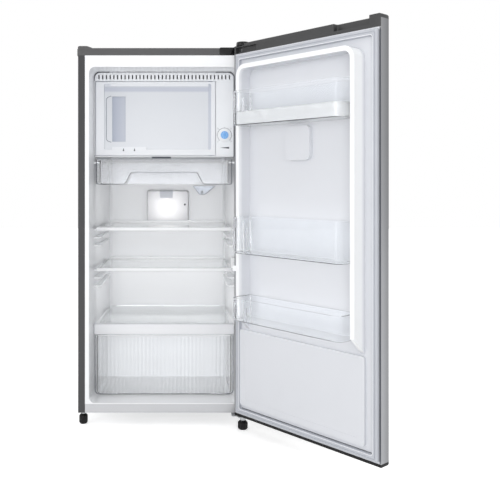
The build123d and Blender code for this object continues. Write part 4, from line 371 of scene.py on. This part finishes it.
def lens_with_painted_glow(name):
    """The frosted lamp cover with a painted glow, brightest before the bulb, and a cool patch of painted
    shade under its top clip.
    """
    material = see_through(name, (248, 248, 250), 0.34, 0.6, 0.00002, 0.9)
    tree = material.node_tree
    shader = shader_of(material)
    glow = reach_from(tree, inside(*PAINTED_GLOW_CENTRE))
    x, y, z = millimetres(tree)
    # Painted shade: a cool, darker patch where the top clip stands before the bulb.
    clip = times(tree, band(tree, x, -27, 21, 2), between(tree, z, 0, 1, 695, 699))
    tint(material, times(tree, clip, between(tree, glow, 0.6, 0.75, 20, 60)), (196, 200, 210))
    # Painted glow: the cover itself gives light, fading away from the bulb and dimmed under the clip.
    lit = between(tree, glow, 0.24, 0.0, 6, 78)
    painted_clip_shade = between(tree, clip, 1, 0.35, 0, 1)
    tree.links.new(times(tree, lit, painted_clip_shade), shader.inputs["Emission Strength"])
    shader.inputs["Emission Color"].default_value = linear((255, 253, 250))
    return material


def freezer_door_with_painted_shade(name):
    """White moulding with painted shade on its sunk field, slopes and finger pocket, laid on by their depth.
    """
    material = moulded(name, (236, 238, 242), 0.3)
    tree = material.node_tree
    x, y, z = millimetres(tree)
    climb = (FIELD_FOOT, FIELD_TOP - 3)
    # Painted shade on the sunk field's floor, deepening towards its top.
    bottom = between(tree, y, 0, 0.9, freezer_face + 4.8, freezer_face + 5.8)
    tint(material, times(tree, bottom, between(tree, z, 0.6, 1, *climb)), (216, 219, 224))
    # Painted shade on the top slope, which faces down.
    sunk = between(tree, y, 0, 1, freezer_face + 1.2, freezer_face + 2.2)
    top = times(tree, sunk, band(tree, z, FIELD_TOP - 13, FIELD_TOP + 3, 3))
    tint(material, times(tree, top, band(tree, x, FIELD_LEFT, FIELD_RIGHT, 2)), (196, 200, 211))
    # Painted shade on the right slope, deepening towards its top.
    right = times(tree, sunk, band(tree, x, FIELD_RIGHT - 11, FIELD_RIGHT + 2, 2))
    tint(material, times(tree, right, between(tree, z, 0.75, 0.95, *climb)), (184, 189, 202))
    # Lighter painted shade on the left slope, deepening towards its top.
    slope = band(tree, y, freezer_face + 1.4, freezer_face + 5.4, 0.3)
    left = times(tree, slope, between(tree, x, 1, 0, FIELD_LEFT + 14, FIELD_LEFT + 24))
    tint(material, times(tree, left, between(tree, z, 0.3, 0.55, *climb)), (196, 200, 211))
    # Painted shade in the finger pocket, darkest at its left end.
    deepest = between(tree, y, 0, 1, freezer_face + 6.2, freezer_face + 7.0)
    pocket = times(tree, deepest, band(tree, x, -168.9, -124, 0.5))
    tint(material, times(tree, pocket, between(tree, x, 1.0, 0.6, -168, -128)), (176, 182, 197))
    return material


def dial_finish(name):
    """A blue hub with pale flecks in a white skirt."""
    material = moulded(name, (240, 241, 243), 0.3)
    tree = material.node_tree
    x, y, z = millimetres(tree)
    off_x = put(tree, "Math", operation="SUBTRACT", _0=x, _1=knob.x).outputs[0]
    off_z = put(tree, "Math", operation="SUBTRACT", _0=z, _1=knob.z).outputs[0]
    flat = put(tree, "CombineXYZ", X=off_x, Y=off_z).outputs[0]
    radius = put(tree, "VectorMath", operation="LENGTH", _0=flat).outputs["Value"]
    tint(material, between(tree, radius, 1, 0, 12.3, 12.8), (116, 176, 236))
    turn = put(tree, "TexGradient", gradient_type="RADIAL", Vector=flat).outputs["Fac"]
    spokes = put(tree, "TexWave", wave_type="BANDS", bands_direction="X", Vector=turn,
                 Scale=math.pi * 8 / 10).outputs["Fac"]
    flecks = times(tree, between(tree, spokes, 0, 0.6, 0.5, 0.9), band(tree, radius, 4.5, 10, 1))
    tint(material, times(tree, flecks, between(tree, y, 1, 0.4, 79, 84)), (214, 232, 250))
    return material


def door_liner_with_painted_highlight(name):
    """White liner with a painted highlight on its rim's crest and along its free side."""
    material = moulded(name, (222, 224, 229), 0.22, 0.000004, 0.0016, 2)
    tree = material.node_tree
    along, off = door_place(tree)
    # Painted highlight on all that stands 30 mm or more off the back plane, chiefly the rim's crest.
    tint(material, between(tree, off, 0, 1, 30, 44), (252, 253, 255))
    height = millimetres(tree)["Z"]
    # Painted highlight on the free side's outer face, above about 300 mm.
    free_side_highlight = times(tree, between(tree, along, 1, 0, -206, -200), between(tree, off, 0, 1, 1, 14))
    free_side_highlight = times(tree, free_side_highlight, between(tree, height, 0, 1, 300, 330))
    tint(material, free_side_highlight, (253, 254, 255))
    return material


def door_skin_with_painted_shade(name):
    """Brushed steel with painted shade that darkens it round the door's edge."""
    material = drawn_metal(name, (160, 161, 164), 0.36)
    tree = material.node_tree
    # Painted shade on the skin's side face, strongest towards the door's outer face.
    tint(material, between(tree, door_place(tree)[1], 0.9, 0, -40, -4), (112, 113, 116))
    return material


FINISHES = {
    "cabinet_paint": lacquered("cabinet_paint", (66, 66, 68), 0.42, 0.25),
    "cap_plastic": moulded("cap_plastic", (84, 84, 85), 0.42, 0.00002, 0.0009),
    "door_trim_plastic": moulded("door_trim_plastic", (58, 58, 59), 0.4, 0.00002, 0.0009),
    "door_metal": door_skin_with_painted_shade("door_metal"),
    "liner_white": moulded("liner_white", (247, 248, 250), 0.16, 0.000004, 0.0016, 2),
    "door_liner_white": door_liner_with_painted_highlight("door_liner_white"),
    "frame_white": moulded("frame_white", (238, 240, 243), 0.3),
    "freezer_door_white": freezer_door_with_painted_shade("freezer_door_white"),
    "trim_white": moulded("trim_white", (246, 247, 249), 0.22),
    "cover_white": moulded("cover_white", (236, 237, 240), 0.24),
    "strip_grey": lacquered("strip_grey", (205, 206, 209), 0.45),
    "zinc": drawn_metal("zinc", (190, 192, 194), 0.38, (20, 20, 20)),
    "bright_steel": drawn_metal("bright_steel", (205, 206, 208), 0.25, (30, 30, 30)),
    "black_moulded": dull(moulded("black_moulded", (14, 14, 15), 0.45, 0.00003, 0.001)),
    "gloss_black": dull(moulded("gloss_black", (20, 20, 21), 0.2, 0.000006, 0.002), 0.35),
    "black_rubber": rubbery("black_rubber", (28, 28, 28)),
    "gasket_vinyl": rubbery("gasket_vinyl", (190, 193, 200), 0.5),
    # A paler copy of the gasket's vinyl: painted highlight for its lip.
    "gasket_lip_highlight": rubbery("gasket_lip_highlight", (240, 241, 244), 0.45),
    "foam_cream": foamed("foam_cream", (226, 208, 150)),
    "rolled_aluminium": drawn_metal("rolled_aluminium", (212, 215, 218), 0.4, (2, 60, 60)),
    "ice_blue": see_through("ice_blue", (186, 208, 226), 0.3, 0.4),
    "egg_clear": see_through("egg_clear", (252, 253, 254), 0.1, 0.72, bends=1.33),
    "tray_clear": see_through("tray_clear", (242, 243, 245), 0.03, 0.96),
    "drawer_clear": ribbed(see_through("drawer_clear", (252, 253, 254), 0.05, 0.9, 0.0000005, 0.97),
                           pitch=0.0125, depth=0.0016),
    "bin_clear": see_through("bin_clear", (253, 254, 255), 0.03, 0.97, bends=1.3),
    "shelf_glass": see_through("shelf_glass", (252, 254, 254), 0.0, 1.0),
    "glass_edge": see_through("glass_edge", (178, 190, 190), 0.15, 0.5),
    "edge_dark": moulded("edge_dark", (62, 66, 76), 0.4),
    "edge_grey": moulded("edge_grey", (150, 155, 166), 0.4),
    "lead_grey": moulded("lead_grey", (118, 123, 136), 0.4),
    "edge_pale": moulded("edge_pale", (250, 251, 252), 0.3),
    "print_grey": moulded("print_grey", (72, 74, 82), 0.5),
    "lamp_lens": lens_with_painted_glow("lamp_lens"),
    "bulb_light": glowing("bulb_light", (255, 250, 242), 0.8),
    "dial_white_blue": dial_finish("dial_white_blue"),
    "socket_grey": moulded("socket_grey", (198, 202, 212), 0.4),
    "funnel_blue": see_through("funnel_blue", (238, 241, 246), 0.05, 0.9),
    "grey_plastic": moulded("grey_plastic", (190, 192, 196), 0.45),
    "copper": drawn_metal("copper", (196, 122, 88), 0.3, (20, 20, 20), wear=40),
    "pot_enamel": lacquered("pot_enamel", (26, 26, 27), 0.3),
    "wire_enamel": lacquered("wire_enamel", (32, 32, 33), 0.4),
}

DRESS = {
    "cabinet_paint": ("left_side_panel", "right_side_panel"),
    "cap_plastic": ("top_cap",),
    "door_trim_plastic": ("door_top_cap",),
    "door_metal": ("door_panel",),
    "liner_white": ("inner_liner",),
    "door_liner_white": ("door_liner",),
    "frame_white": ("freezer_frame",),
    "freezer_door_white": ("freezer_door",),
    "trim_white": ("upper_shelf_trim", "lower_shelf_trim", "chiller_rails", "door_switch", "switch_plunger"),
    "cover_white": ("crisper_cover_frame",),
    "strip_grey": ("bottom_front_panel",),
    "zinc": ("back_panel", "chamber_plate", "base_pan", "top_hinge", "bottom_hinge"),
    "bright_steel": ("cabinet_screws",),
    "black_moulded": ("front_left_foot", "front_right_foot", "rear_feet", "relay_cover", "evaporation_tray",
                      "door_bottom_cap", "condenser_brackets"),
    "gloss_black": ("hinge_cover",),
    "black_rubber": ("compressor_grommets", "cord_gland"),
    "gasket_vinyl": ("door_gasket",),
    "foam_cream": ("insulation_foam", "door_foam"),
    "rolled_aluminium": ("evaporator",),
    "ice_blue": ("ice_tray",),
    "egg_clear": ("egg_tray",),
    "tray_clear": ("chiller_tray",),
    "drawer_clear": ("crisper_drawer",),
    "bin_clear": ("top_bin", "middle_bin", "lower_bin"),
    "shelf_glass": ("upper_shelf_glass", "lower_shelf_glass", "crisper_cover_glass"),
    "lamp_lens": ("lamp_cover",),
    "bulb_light": ("lamp_bulb",),
    "socket_grey": ("lamp_holder",),
    "dial_white_blue": ("thermostat_knob",),
    "funnel_blue": ("drain_funnel",),
    "grey_plastic": ("thermostat", "drain_tube"),
    "copper": ("filter_drier", "capillary", "suction_line", "discharge_line"),
    "pot_enamel": ("compressor",),
    "wire_enamel": ("condenser_tube", "condenser_wires"),
}
finish_of = {member: finish for finish, members in DRESS.items() for member in members}

for node, finish in finish_of.items():
    for slot in nodes[node].material_slots:
        slot.material = FINISHES[finish]


# Making pieces


def finished(name, shape, finish, body, sharpest=35):
    """Turns a shape that stands in its place into a piece that rides on a body.

    Edges that turn by more than the sharpest angle, in degrees, stay crisp.
    """
    bmesh.ops.recalc_face_normals(shape, faces=shape.faces)
    mesh = bpy.data.meshes.new(name)
    shape.to_mesh(mesh)
    shape.free()
    mesh.shade_smooth()
    mesh.set_sharp_from_angle(angle=math.radians(sharpest))
    mesh.materials.append(FINISHES[finish])
    piece = bpy.data.objects.new(name, mesh)
    bpy.context.scene.collection.objects.link(piece)
    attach(piece, body)
    return piece


def eased(node, width, clamp=False):
    """A CAD node's copy with its edges eased to a width in millimetres, which stands for the node."""
    shape = bmesh.new()
    shape.from_mesh(nodes[node].data)
    bmesh.ops.remove_doubles(shape, verts=shape.verts, dist=0.00001)
    bmesh.ops.dissolve_limit(shape, angle_limit=math.radians(0.5), verts=shape.verts, edges=shape.edges,
                             use_dissolve_boundaries=False)
    mesh = bpy.data.meshes.new(node + "_eased")
    shape.to_mesh(mesh)
    shape.free()
    mesh.shade_smooth()
    mesh.materials.clear()
    mesh.materials.append(FINISHES[finish_of[node]])
    piece = bpy.data.objects.new(node + "_eased", mesh)
    bpy.context.scene.collection.objects.link(piece)
    ease = piece.modifiers.new("eased_edges", "BEVEL")
    ease.width = width / 1000
    ease.segments = 2
    ease.limit_method = "ANGLE"
    ease.angle_limit = math.radians(32)
    ease.miter_outer = "MITER_ARC"
    ease.use_clamp_overlap = clamp
    ease.harden_normals = True
    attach(piece, nodes[node]["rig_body"])
    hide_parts(node)
    return piece


def bead(name, corners, radius, finish, body, rounding=0.0, carry=inside, closed=False):
    """A round bead along a line of places in millimetres, with its inner corners rounded."""
    places = [carry(*corner) for corner in corners]
    count = len(places)
    knots = []
    for i, place in enumerate(places):
        before = places[i - 1] if i or closed else None
        after = places[(i + 1) % count] if i < count - 1 or closed else None
        if before is None or after is None or not rounding:
            knots.append((place, place, place))
            continue
        back = (before - place).normalized() * rounding / 1000
        ahead = (after - place).normalized() * rounding / 1000
        knots.append((place + back, place + back * 1.4, place + back * 0.45))
        knots.append((place + ahead, place + ahead * 0.45, place + ahead * 1.4))
    line = bpy.data.curves.new(name, "CURVE")
    line.dimensions = "3D"
    line.bevel_depth = radius / 1000
    line.bevel_resolution = 2
    line.use_fill_caps = not closed
    line.resolution_u = 8 if rounding else 1
    spline = line.splines.new("BEZIER")
    spline.bezier_points.add(len(knots) - 1)
    spline.use_cyclic_u = closed
    for knot, (place, left, right) in zip(spline.bezier_points, knots):
        knot.handle_left_type = knot.handle_right_type = "FREE"
        knot.co, knot.handle_left, knot.handle_right = place, left, right
    drawn = bpy.data.objects.new(name + "_line", line)
    shape = bmesh.new()
    made = bpy.data.meshes.new_from_object(drawn)
    shape.from_mesh(made)
    bpy.data.objects.remove(drawn)
    bpy.data.curves.remove(line)
    bpy.data.meshes.remove(made)
    bmesh.ops.remove_doubles(shape, verts=shape.verts, dist=0.000002)
    return finished(name, shape, finish, body, 50)


def strip(name, x, y, z, soften, finish, body, carry=inside):
    """A flat-sided moulding between two places on each axis, its edges softened, in millimetres."""
    shape = bmesh.new()
    bmesh.ops.create_cube(shape, size=1)
    for corner in shape.verts:
        corner.co = carry(*(ends[side > 0] for side, ends in zip(corner.co, (x, y, z))))
    bmesh.ops.bevel(shape, geom=shape.edges, offset=soften / 1000, segments=3, affect="EDGES", profile=0.5,
                    material=-1)
    return finished(name, shape, finish, body, 50)


def raised_mark(name, outline, rise, body):
    """A printed mark: a flat outline, raised towards the front by some millimetres."""
    shape = bmesh.new()
    face = shape.faces.new([shape.verts.new(inside(*corner)) for corner in outline])
    lifted = bmesh.ops.extrude_face_region(shape, geom=[face])["geom"]
    corners = [part for part in lifted if isinstance(part, bmesh.types.BMVert)]
    bmesh.ops.translate(shape, vec=(0, -rise / 1000, 0), verts=corners)
    return finished(name, shape, "print_grey", body)


# Eased edges: the width in millimetres, and whether the bevel stops at the smallest face
EASED = {
    "top_cap": (0.8, True),
    "door_top_cap": (0.8, True),
    "door_bottom_cap": (0.5, False),
    "hinge_cover": (0.7, False),
    "thermostat_knob": (0.3, False),
    "upper_shelf_trim": (0.6, False),
    "lower_shelf_trim": (0.6, False),
    "crisper_cover_frame": (0.8, False),
    "front_left_foot": (0.4, False),
    "front_right_foot": (0.4, False),
    "bottom_front_panel": (0.3, False),
    "door_gasket": (0.6, False),
    "door_switch": (0.5, False),
    "relay_cover": (0.8, False),
    "compressor": (0.6, False),
}
for node, (width, clamp) in EASED.items():
    eased(node, width, clamp)

# Freezer front

frame_low, frame_high = corners_of("freezer_frame")
# Where the dark beads of painted shade run, in the gap between the freezer frame and the liner.
GAP_SHADE_SIDE = frame_high.x - 0.47
GAP_SHADE_FACE = frame_low.y + 1.6
GAP_SHADE_TOP = frame_high.z - 0.66
GAP_SHADE_BEND = 12
CATCH_WIDE = (-40, 22)
CATCH_DEEP = (89.0, 93)
CATCH_TALL = (833.8, 838.4)
ARROW_LEVEL = 862.4
ARROW_FACE = freezer_face + 0.15
# Dark beads in the gap between the freezer frame and the liner: painted shade.
bead("frame_gap_shade_left",
     [(-GAP_SHADE_SIDE, GAP_SHADE_FACE, 1084), (-GAP_SHADE_SIDE, GAP_SHADE_FACE, GAP_SHADE_TOP), (-178, GAP_SHADE_FACE, GAP_SHADE_TOP)],
     1.0, "edge_dark", "cabinet", GAP_SHADE_BEND)
bead("frame_gap_shade_right",
     [(166, GAP_SHADE_FACE, GAP_SHADE_TOP), (GAP_SHADE_SIDE, GAP_SHADE_FACE, GAP_SHADE_TOP), (GAP_SHADE_SIDE, GAP_SHADE_FACE, 839)],
     1.0, "edge_dark", "cabinet", GAP_SHADE_BEND)
pocket_line = [(-172, 95.0, 1036), (-188, 95.0, 1030), (-188, 95.0, 892), (-172, 95.0, 886)]
bead("pocket_edge", pocket_line, 0.8, "lead_grey", "freezer_door", 7)
strip("catch_strip", CATCH_WIDE, CATCH_DEEP, CATCH_TALL, 0.8, "edge_dark", "cabinet")
for name, x in (("latch_arrow_left", -131.7), ("latch_arrow_right", -96.1)):
    arrow = [(x + side, ARROW_FACE, ARROW_LEVEL + rise) for side, rise in ((-2.6, -5), (2.6, -5), (0, 5))]
    raised_mark(name, arrow, 0.4, "freezer_door")

# Control panel

PRINT_FACE = frame_low.y - 0.1
WEDGE_FACE = frame_low.y - 0.05
FIRST_TURN = -135
TURN_STEP = 45
RING_RADIUS = 23.0
TICK_INNER = 24.2
TICK_OUTER = 25.8
FIGURE_RADIUS = 30


def dial_ring(name, radius, thickness, turn, start, finish):
    """A thin raised arc round the dial, spun from a small square."""
    shape = bmesh.new()
    inner, outer = radius - thickness / 2, radius + thickness / 2
    start = math.radians(start)
    corners = []
    back, front = frame_low.y + 0.1, frame_low.y - 0.25
    for out, y in ((inner, back), (outer, back), (outer, front), (inner, front)):
        place = inside(knob.x + out * math.sin(start), y, knob.z + out * math.cos(start))
        corners.append(shape.verts.new(place))
    square = shape.faces.new(corners)
    bmesh.ops.spin(shape, geom=[square, *square.edges, *square.verts], cent=inside(knob.x, front, knob.z),
                   axis=(0, 1, 0), angle=math.radians(turn), steps=48, use_merge=False, use_duplicate=False)
    bmesh.ops.remove_doubles(shape, verts=shape.verts, dist=0.00001)
    return finished(name, shape, finish, "cabinet")


def round_knob(step, radius):
    """A place on the panel at one of the knob's steps, in millimetres."""
    turn = math.radians(FIRST_TURN + TURN_STEP * step)
    return knob.x + radius * math.sin(turn), PRINT_FACE, knob.z + radius * math.cos(turn)


def dial_figure(step):
    """The number beside a step of the dial, 6.2 mm high."""
    figure = bpy.data.curves.new("figure", "FONT")
    figure.body = str(step + 1)
    figure.size = 0.0062
    figure.extrude = 0.0001
    figure.resolution_u = 3
    figure.align_x, figure.align_y = "CENTER", "CENTER"
    drawn = bpy.data.objects.new("figure", figure)
    made = bpy.data.meshes.new_from_object(drawn)
    bpy.data.objects.remove(drawn)
    shape = bmesh.new()
    shape.from_mesh(made)
    bmesh.ops.remove_doubles(shape, verts=shape.verts, dist=0.000001)
    place = inside(*round_knob(step, FIGURE_RADIUS))
    bmesh.ops.transform(shape, matrix=Matrix.Translation(place) @ Matrix.Rotation(math.pi / 2, 4, "X"),
                        verts=shape.verts)
    return finished(f"dial_figure_{step + 1}", shape, "print_grey", "cabinet")


dial_ring("dial_ring", RING_RADIUS, 0.9, 270, FIRST_TURN, "print_grey")
for step in range(7):
    tick = [round_knob(step, TICK_INNER), round_knob(step, TICK_OUTER)]
    bead(f"dial_tick_{step + 1}", tick, 0.45, "print_grey", "cabinet")
    if step % 2 == 0:
        dial_figure(step)
wedge = [(180, WEDGE_FACE, 868), (210, WEDGE_FACE, 865), (210, WEDGE_FACE, 871)]
raised_mark("dial_wedge", wedge, 0.3, "cabinet")

# Chiller tray

tray_low, tray_high = corners_of("chiller_tray")
TRAY_SIDE = tray_high.x - 1.2
TRAY_BOTTOM = tray_low.z + 1.44
GRIP_FOOT = 126
GRIP_HALF = 106
GRIP_TOP = 789
# Dark beads down the clear tray's sides and along its bottom: painted shade at its edges.
for side, name in ((-1, "left"), (1, "right")):
    outline = [(side * TRAY_SIDE, tray_low.y, 829), (side * TRAY_SIDE, tray_low.y, TRAY_BOTTOM),
               (side * GRIP_FOOT, tray_low.y, TRAY_BOTTOM), (side * GRIP_HALF, tray_low.y, GRIP_TOP)]
    bead(f"tray_edge_{name}", outline, 0.95, "edge_dark", "chiller_tray", 6)
bead("tray_grip_edge", [(-GRIP_HALF, 77.4, GRIP_TOP), (GRIP_HALF, 77.4, GRIP_TOP)], 0.9, "edge_grey",
     "chiller_tray")
bead("tray_top_edge", [(-216, tray_low.y, 831.6), (216, tray_low.y, 831.6)], 0.8, "edge_grey",
     "chiller_tray")

# Crisper drawer and its cover

drawer_low, drawer_high = corners_of("crisper_drawer")
EDGE_SIDE = drawer_high.x + 6.38
EDGE_FACE = drawer_low.y + 0.6
EDGE_BOTTOM = drawer_low.z + 4.3
LIP_SIDE = drawer_high.x + 3.18
LIP_FRONT = drawer_low.y + 1.6
LIP_BOTTOM = drawer_low.z + 7.1
FRONT_TOP = drawer_high.z - 1
for side, name in ((-1, "left"), (1, "right")):
    # Dark beads at the drawer front's sides and bottom corners: painted shade.
    outline = [(side * EDGE_SIDE, EDGE_FACE, FRONT_TOP), (side * EDGE_SIDE, EDGE_FACE, EDGE_BOTTOM),
               (side * 196, EDGE_FACE, EDGE_BOTTOM)]
    bead(f"drawer_edge_{name}", outline, 1.0, "edge_dark", "crisper_drawer", 13)
    outline = [(side * LIP_SIDE, LIP_FRONT, FRONT_TOP), (side * LIP_SIDE, LIP_FRONT, LIP_BOTTOM),
               (side * 150, LIP_FRONT, LIP_BOTTOM)]
    bead(f"drawer_lip_{name}", outline, 2.7, "bin_clear", "crisper_drawer", 10)
bead("cover_edge", [(-221, 79, 299.4), (221, 79, 299.4)], 0.9, "edge_grey", "cabinet")
bead("drawer_top_edge", [(-214, 80.4, 262.4), (214, 80.4, 262.4)], 0.9, "edge_pale", "crisper_drawer")

# Shelves

GLASS_SIDE = 210.6
for body in ("upper_shelf", "lower_shelf"):
    glass_low, glass_high = corners_of(f"{body}_glass")
    level = glass_high.z - 2
    for side, name in ((-1, "left"), (1, "right")):
        line = [(side * GLASS_SIDE, glass_low.y + 2, level), (side * GLASS_SIDE, glass_high.y + 2, level)]
        bead(f"{body}_edge_{name}", line, 1.2, "glass_edge", body)

# Lamp and drain

SCREW_PLACE = (65.45, 413.2, 673.7)
FUNNEL_FACE = 425.4
FUNNEL_TOP = 740.6
FUNNEL_FOOT = 711.4
screw = bmesh.new()
bmesh.ops.create_cone(screw, cap_ends=True, segments=24, radius1=0.0036, radius2=0.003, depth=0.0016)
crown = [face for face in screw.faces if face.normal.z > 0.9]
bmesh.ops.inset_region(screw, faces=crown, thickness=0.0008, depth=-0.0004)
seat = Matrix.Translation(inside(*SCREW_PLACE)) @ Matrix.Rotation(math.pi / 2, 4, "X")
bmesh.ops.transform(screw, matrix=seat, verts=screw.verts)
finished("lamp_screw", screw, "print_grey", "cabinet")
funnel_line = [(97, FUNNEL_FACE, FUNNEL_TOP), (119.5, FUNNEL_FACE, FUNNEL_FOOT),
               (140.5, FUNNEL_FACE, FUNNEL_FOOT), (176, FUNNEL_FACE, FUNNEL_TOP)]
bead("funnel_edge", funnel_line, 0.9, "edge_grey", "cabinet", 3)

# Door

GASKET_LEFT = -246
GASKET_RIGHT = 236.5
GASKET_FACE = -2.2
GASKET_LOW = 68.5
GASKET_HIGH = 1130
HEM_SIDE = -262.4
HEM_FACE = -12.4
gasket_line = [(GASKET_LEFT, GASKET_FACE, GASKET_LOW), (GASKET_LEFT, GASKET_FACE, GASKET_HIGH),
               (GASKET_RIGHT, GASKET_FACE, GASKET_HIGH), (GASKET_RIGHT, GASKET_FACE, GASKET_LOW)]
# A pale bead round the gasket's lip: a painted highlight on the grey gasket.
bead("gasket_lip_highlight", gasket_line, 1.3, "gasket_lip_highlight", "door", 8, on_door, True)
bead("gasket_shadow", [(232, -11.6, 71.5), (-242, -11.6, 71.5)], 0.7, "edge_dark", "door", 0,
     on_door)
for name, height in (("top_bin", (966, 1018)), ("middle_bin", (558, 650)), ("lower_bin", (360, 415))):
    strip(f"{name}_hanger", (-199.7, -194.8), (-9.4, 8), height, 1.2, "edge_pale", name,
          on_door)
# A dark bead along the hem of the door's skin: painted shade on the hem.
bead("hem_shade_line", [(HEM_SIDE, HEM_FACE, 52), (HEM_SIDE, HEM_FACE, 1145)], 1.3, "edge_dark", "door",
     0, on_door)

# Studio


def camera():
    """The photograph's view: square on to the cabinet, a little above its middle."""
    lens = bpy.data.cameras.new("camera")
    lens.sensor_width = 36
    lens.lens = 50.9
    lens.shift_x = 0.124
    lens.shift_y = -0.138
    stand = bpy.data.objects.new("camera", lens)
    stand.location = (-0.0826, -2.2559, 0.7605)
    stand.rotation_euler = (math.pi / 2, 0, 0)
    bpy.context.scene.collection.objects.link(stand)
    bpy.context.scene.camera = stand


def soft_light(name, place, target, size, power, mirrored=True):
    """A square soft light that looks at a point, and may be kept out of reflections."""
    lamp = bpy.data.lights.new(name, "AREA")
    lamp.size = size
    lamp.energy = power
    stand = bpy.data.objects.new(name, lamp)
    stand.location = place
    stand.rotation_euler = (Vector(target) - Vector(place)).to_track_quat("-Z", "Y").to_euler()
    stand.visible_glossy = mirrored
    bpy.context.scene.collection.objects.link(stand)


def cabin_glow(name, place, wide, tall, power):
    """An unseen soft panel inside the cabinet that gives the light its lamp spreads from wall to wall."""
    lamp = bpy.data.lights.new(name, "AREA")
    lamp.shape = "RECTANGLE"
    lamp.size, lamp.size_y = wide, tall
    lamp.energy = power
    stand = bpy.data.objects.new(name, lamp)
    stand.location = place
    stand.rotation_euler = (math.pi / 2, 0, 0)
    stand.visible_camera = stand.visible_glossy = stand.visible_transmission = False
    bpy.context.scene.collection.objects.link(stand)


def seen_or_mirrored(tree):
    """One for the rays that show the background: seen, mirrored or seen through glass."""
    path = put(tree, "LightPath")
    seen, mirrored, through = (path.outputs[f"Is {way} Ray"] for way in ("Camera", "Glossy", "Transmission"))
    either = put(tree, "Math", operation="MAXIMUM", _0=seen, _1=mirrored).outputs[0]
    return put(tree, "Math", operation="MAXIMUM", _0=either, _1=through).outputs[0]


def surroundings():
    """A white world that lights gently and shows as white."""
    world = bpy.data.worlds.new("studio")
    bpy.context.scene.world = world
    world.use_nodes = True
    tree = world.node_tree
    tree.nodes.clear()
    shown = seen_or_mirrored(tree)
    strength = between(tree, shown, 0.7, 1.0, 0, 1)
    back = put(tree, "Background", Color=(1, 1, 1, 1), Strength=strength)
    put(tree, "OutputWorld", Surface=back.outputs[0])


def studio_floor():
    """A plain pale floor that shows as white and keeps the shadow."""
    mesh = bpy.data.meshes.new("floor")
    shape = bmesh.new()
    bmesh.ops.create_grid(shape, x_segments=1, y_segments=1, size=9)
    shape.to_mesh(mesh)
    shape.free()
    floor = bpy.data.objects.new("floor", mesh)
    bpy.context.scene.collection.objects.link(floor)
    material, tree, shader = start_finish("floor")
    shader.inputs["Base Color"].default_value = (0.86, 0.86, 0.86, 1)
    shader.inputs["Roughness"].default_value = 0.6
    shader.inputs["Emission Color"].default_value = (1, 1, 1, 1)
    away = put(tree, "VectorMath", operation="LENGTH", _0=here(tree)).outputs["Value"]
    shown = between(tree, seen_or_mirrored(tree), 0, 1, 0, 1)
    glow = put(tree, "Math", operation="MULTIPLY", _0=shown, _1=between(tree, away, 0.5, 0.8, 0.25, 0.7))
    tree.links.new(glow.outputs[0], shader.inputs["Emission Strength"])
    mesh.materials.append(material)


camera()
surroundings()
studio_floor()
soft_light("front_light", (-0.2, -3.9, 1.0), (-0.1, 0.2, 0.62), 1.7, 37, False)
cabin_glow("shelf_glow", inside(0, 115, 525), 0.38, 0.42, 0.62)
cabin_glow("drawer_glow", inside(0, 100, 170), 0.38, 0.16, 0.2)
soft_light("left_light", (-2.6, -2.0, 1.6), (0.2, 0.0, 0.6), 1.6, 12)
soft_light("top_light", (-0.3, -1.0, 3.0), (0.0, 0.0, 0.6), 1.6, 8)
bpy.context.scene.view_settings.view_transform = "Standard"
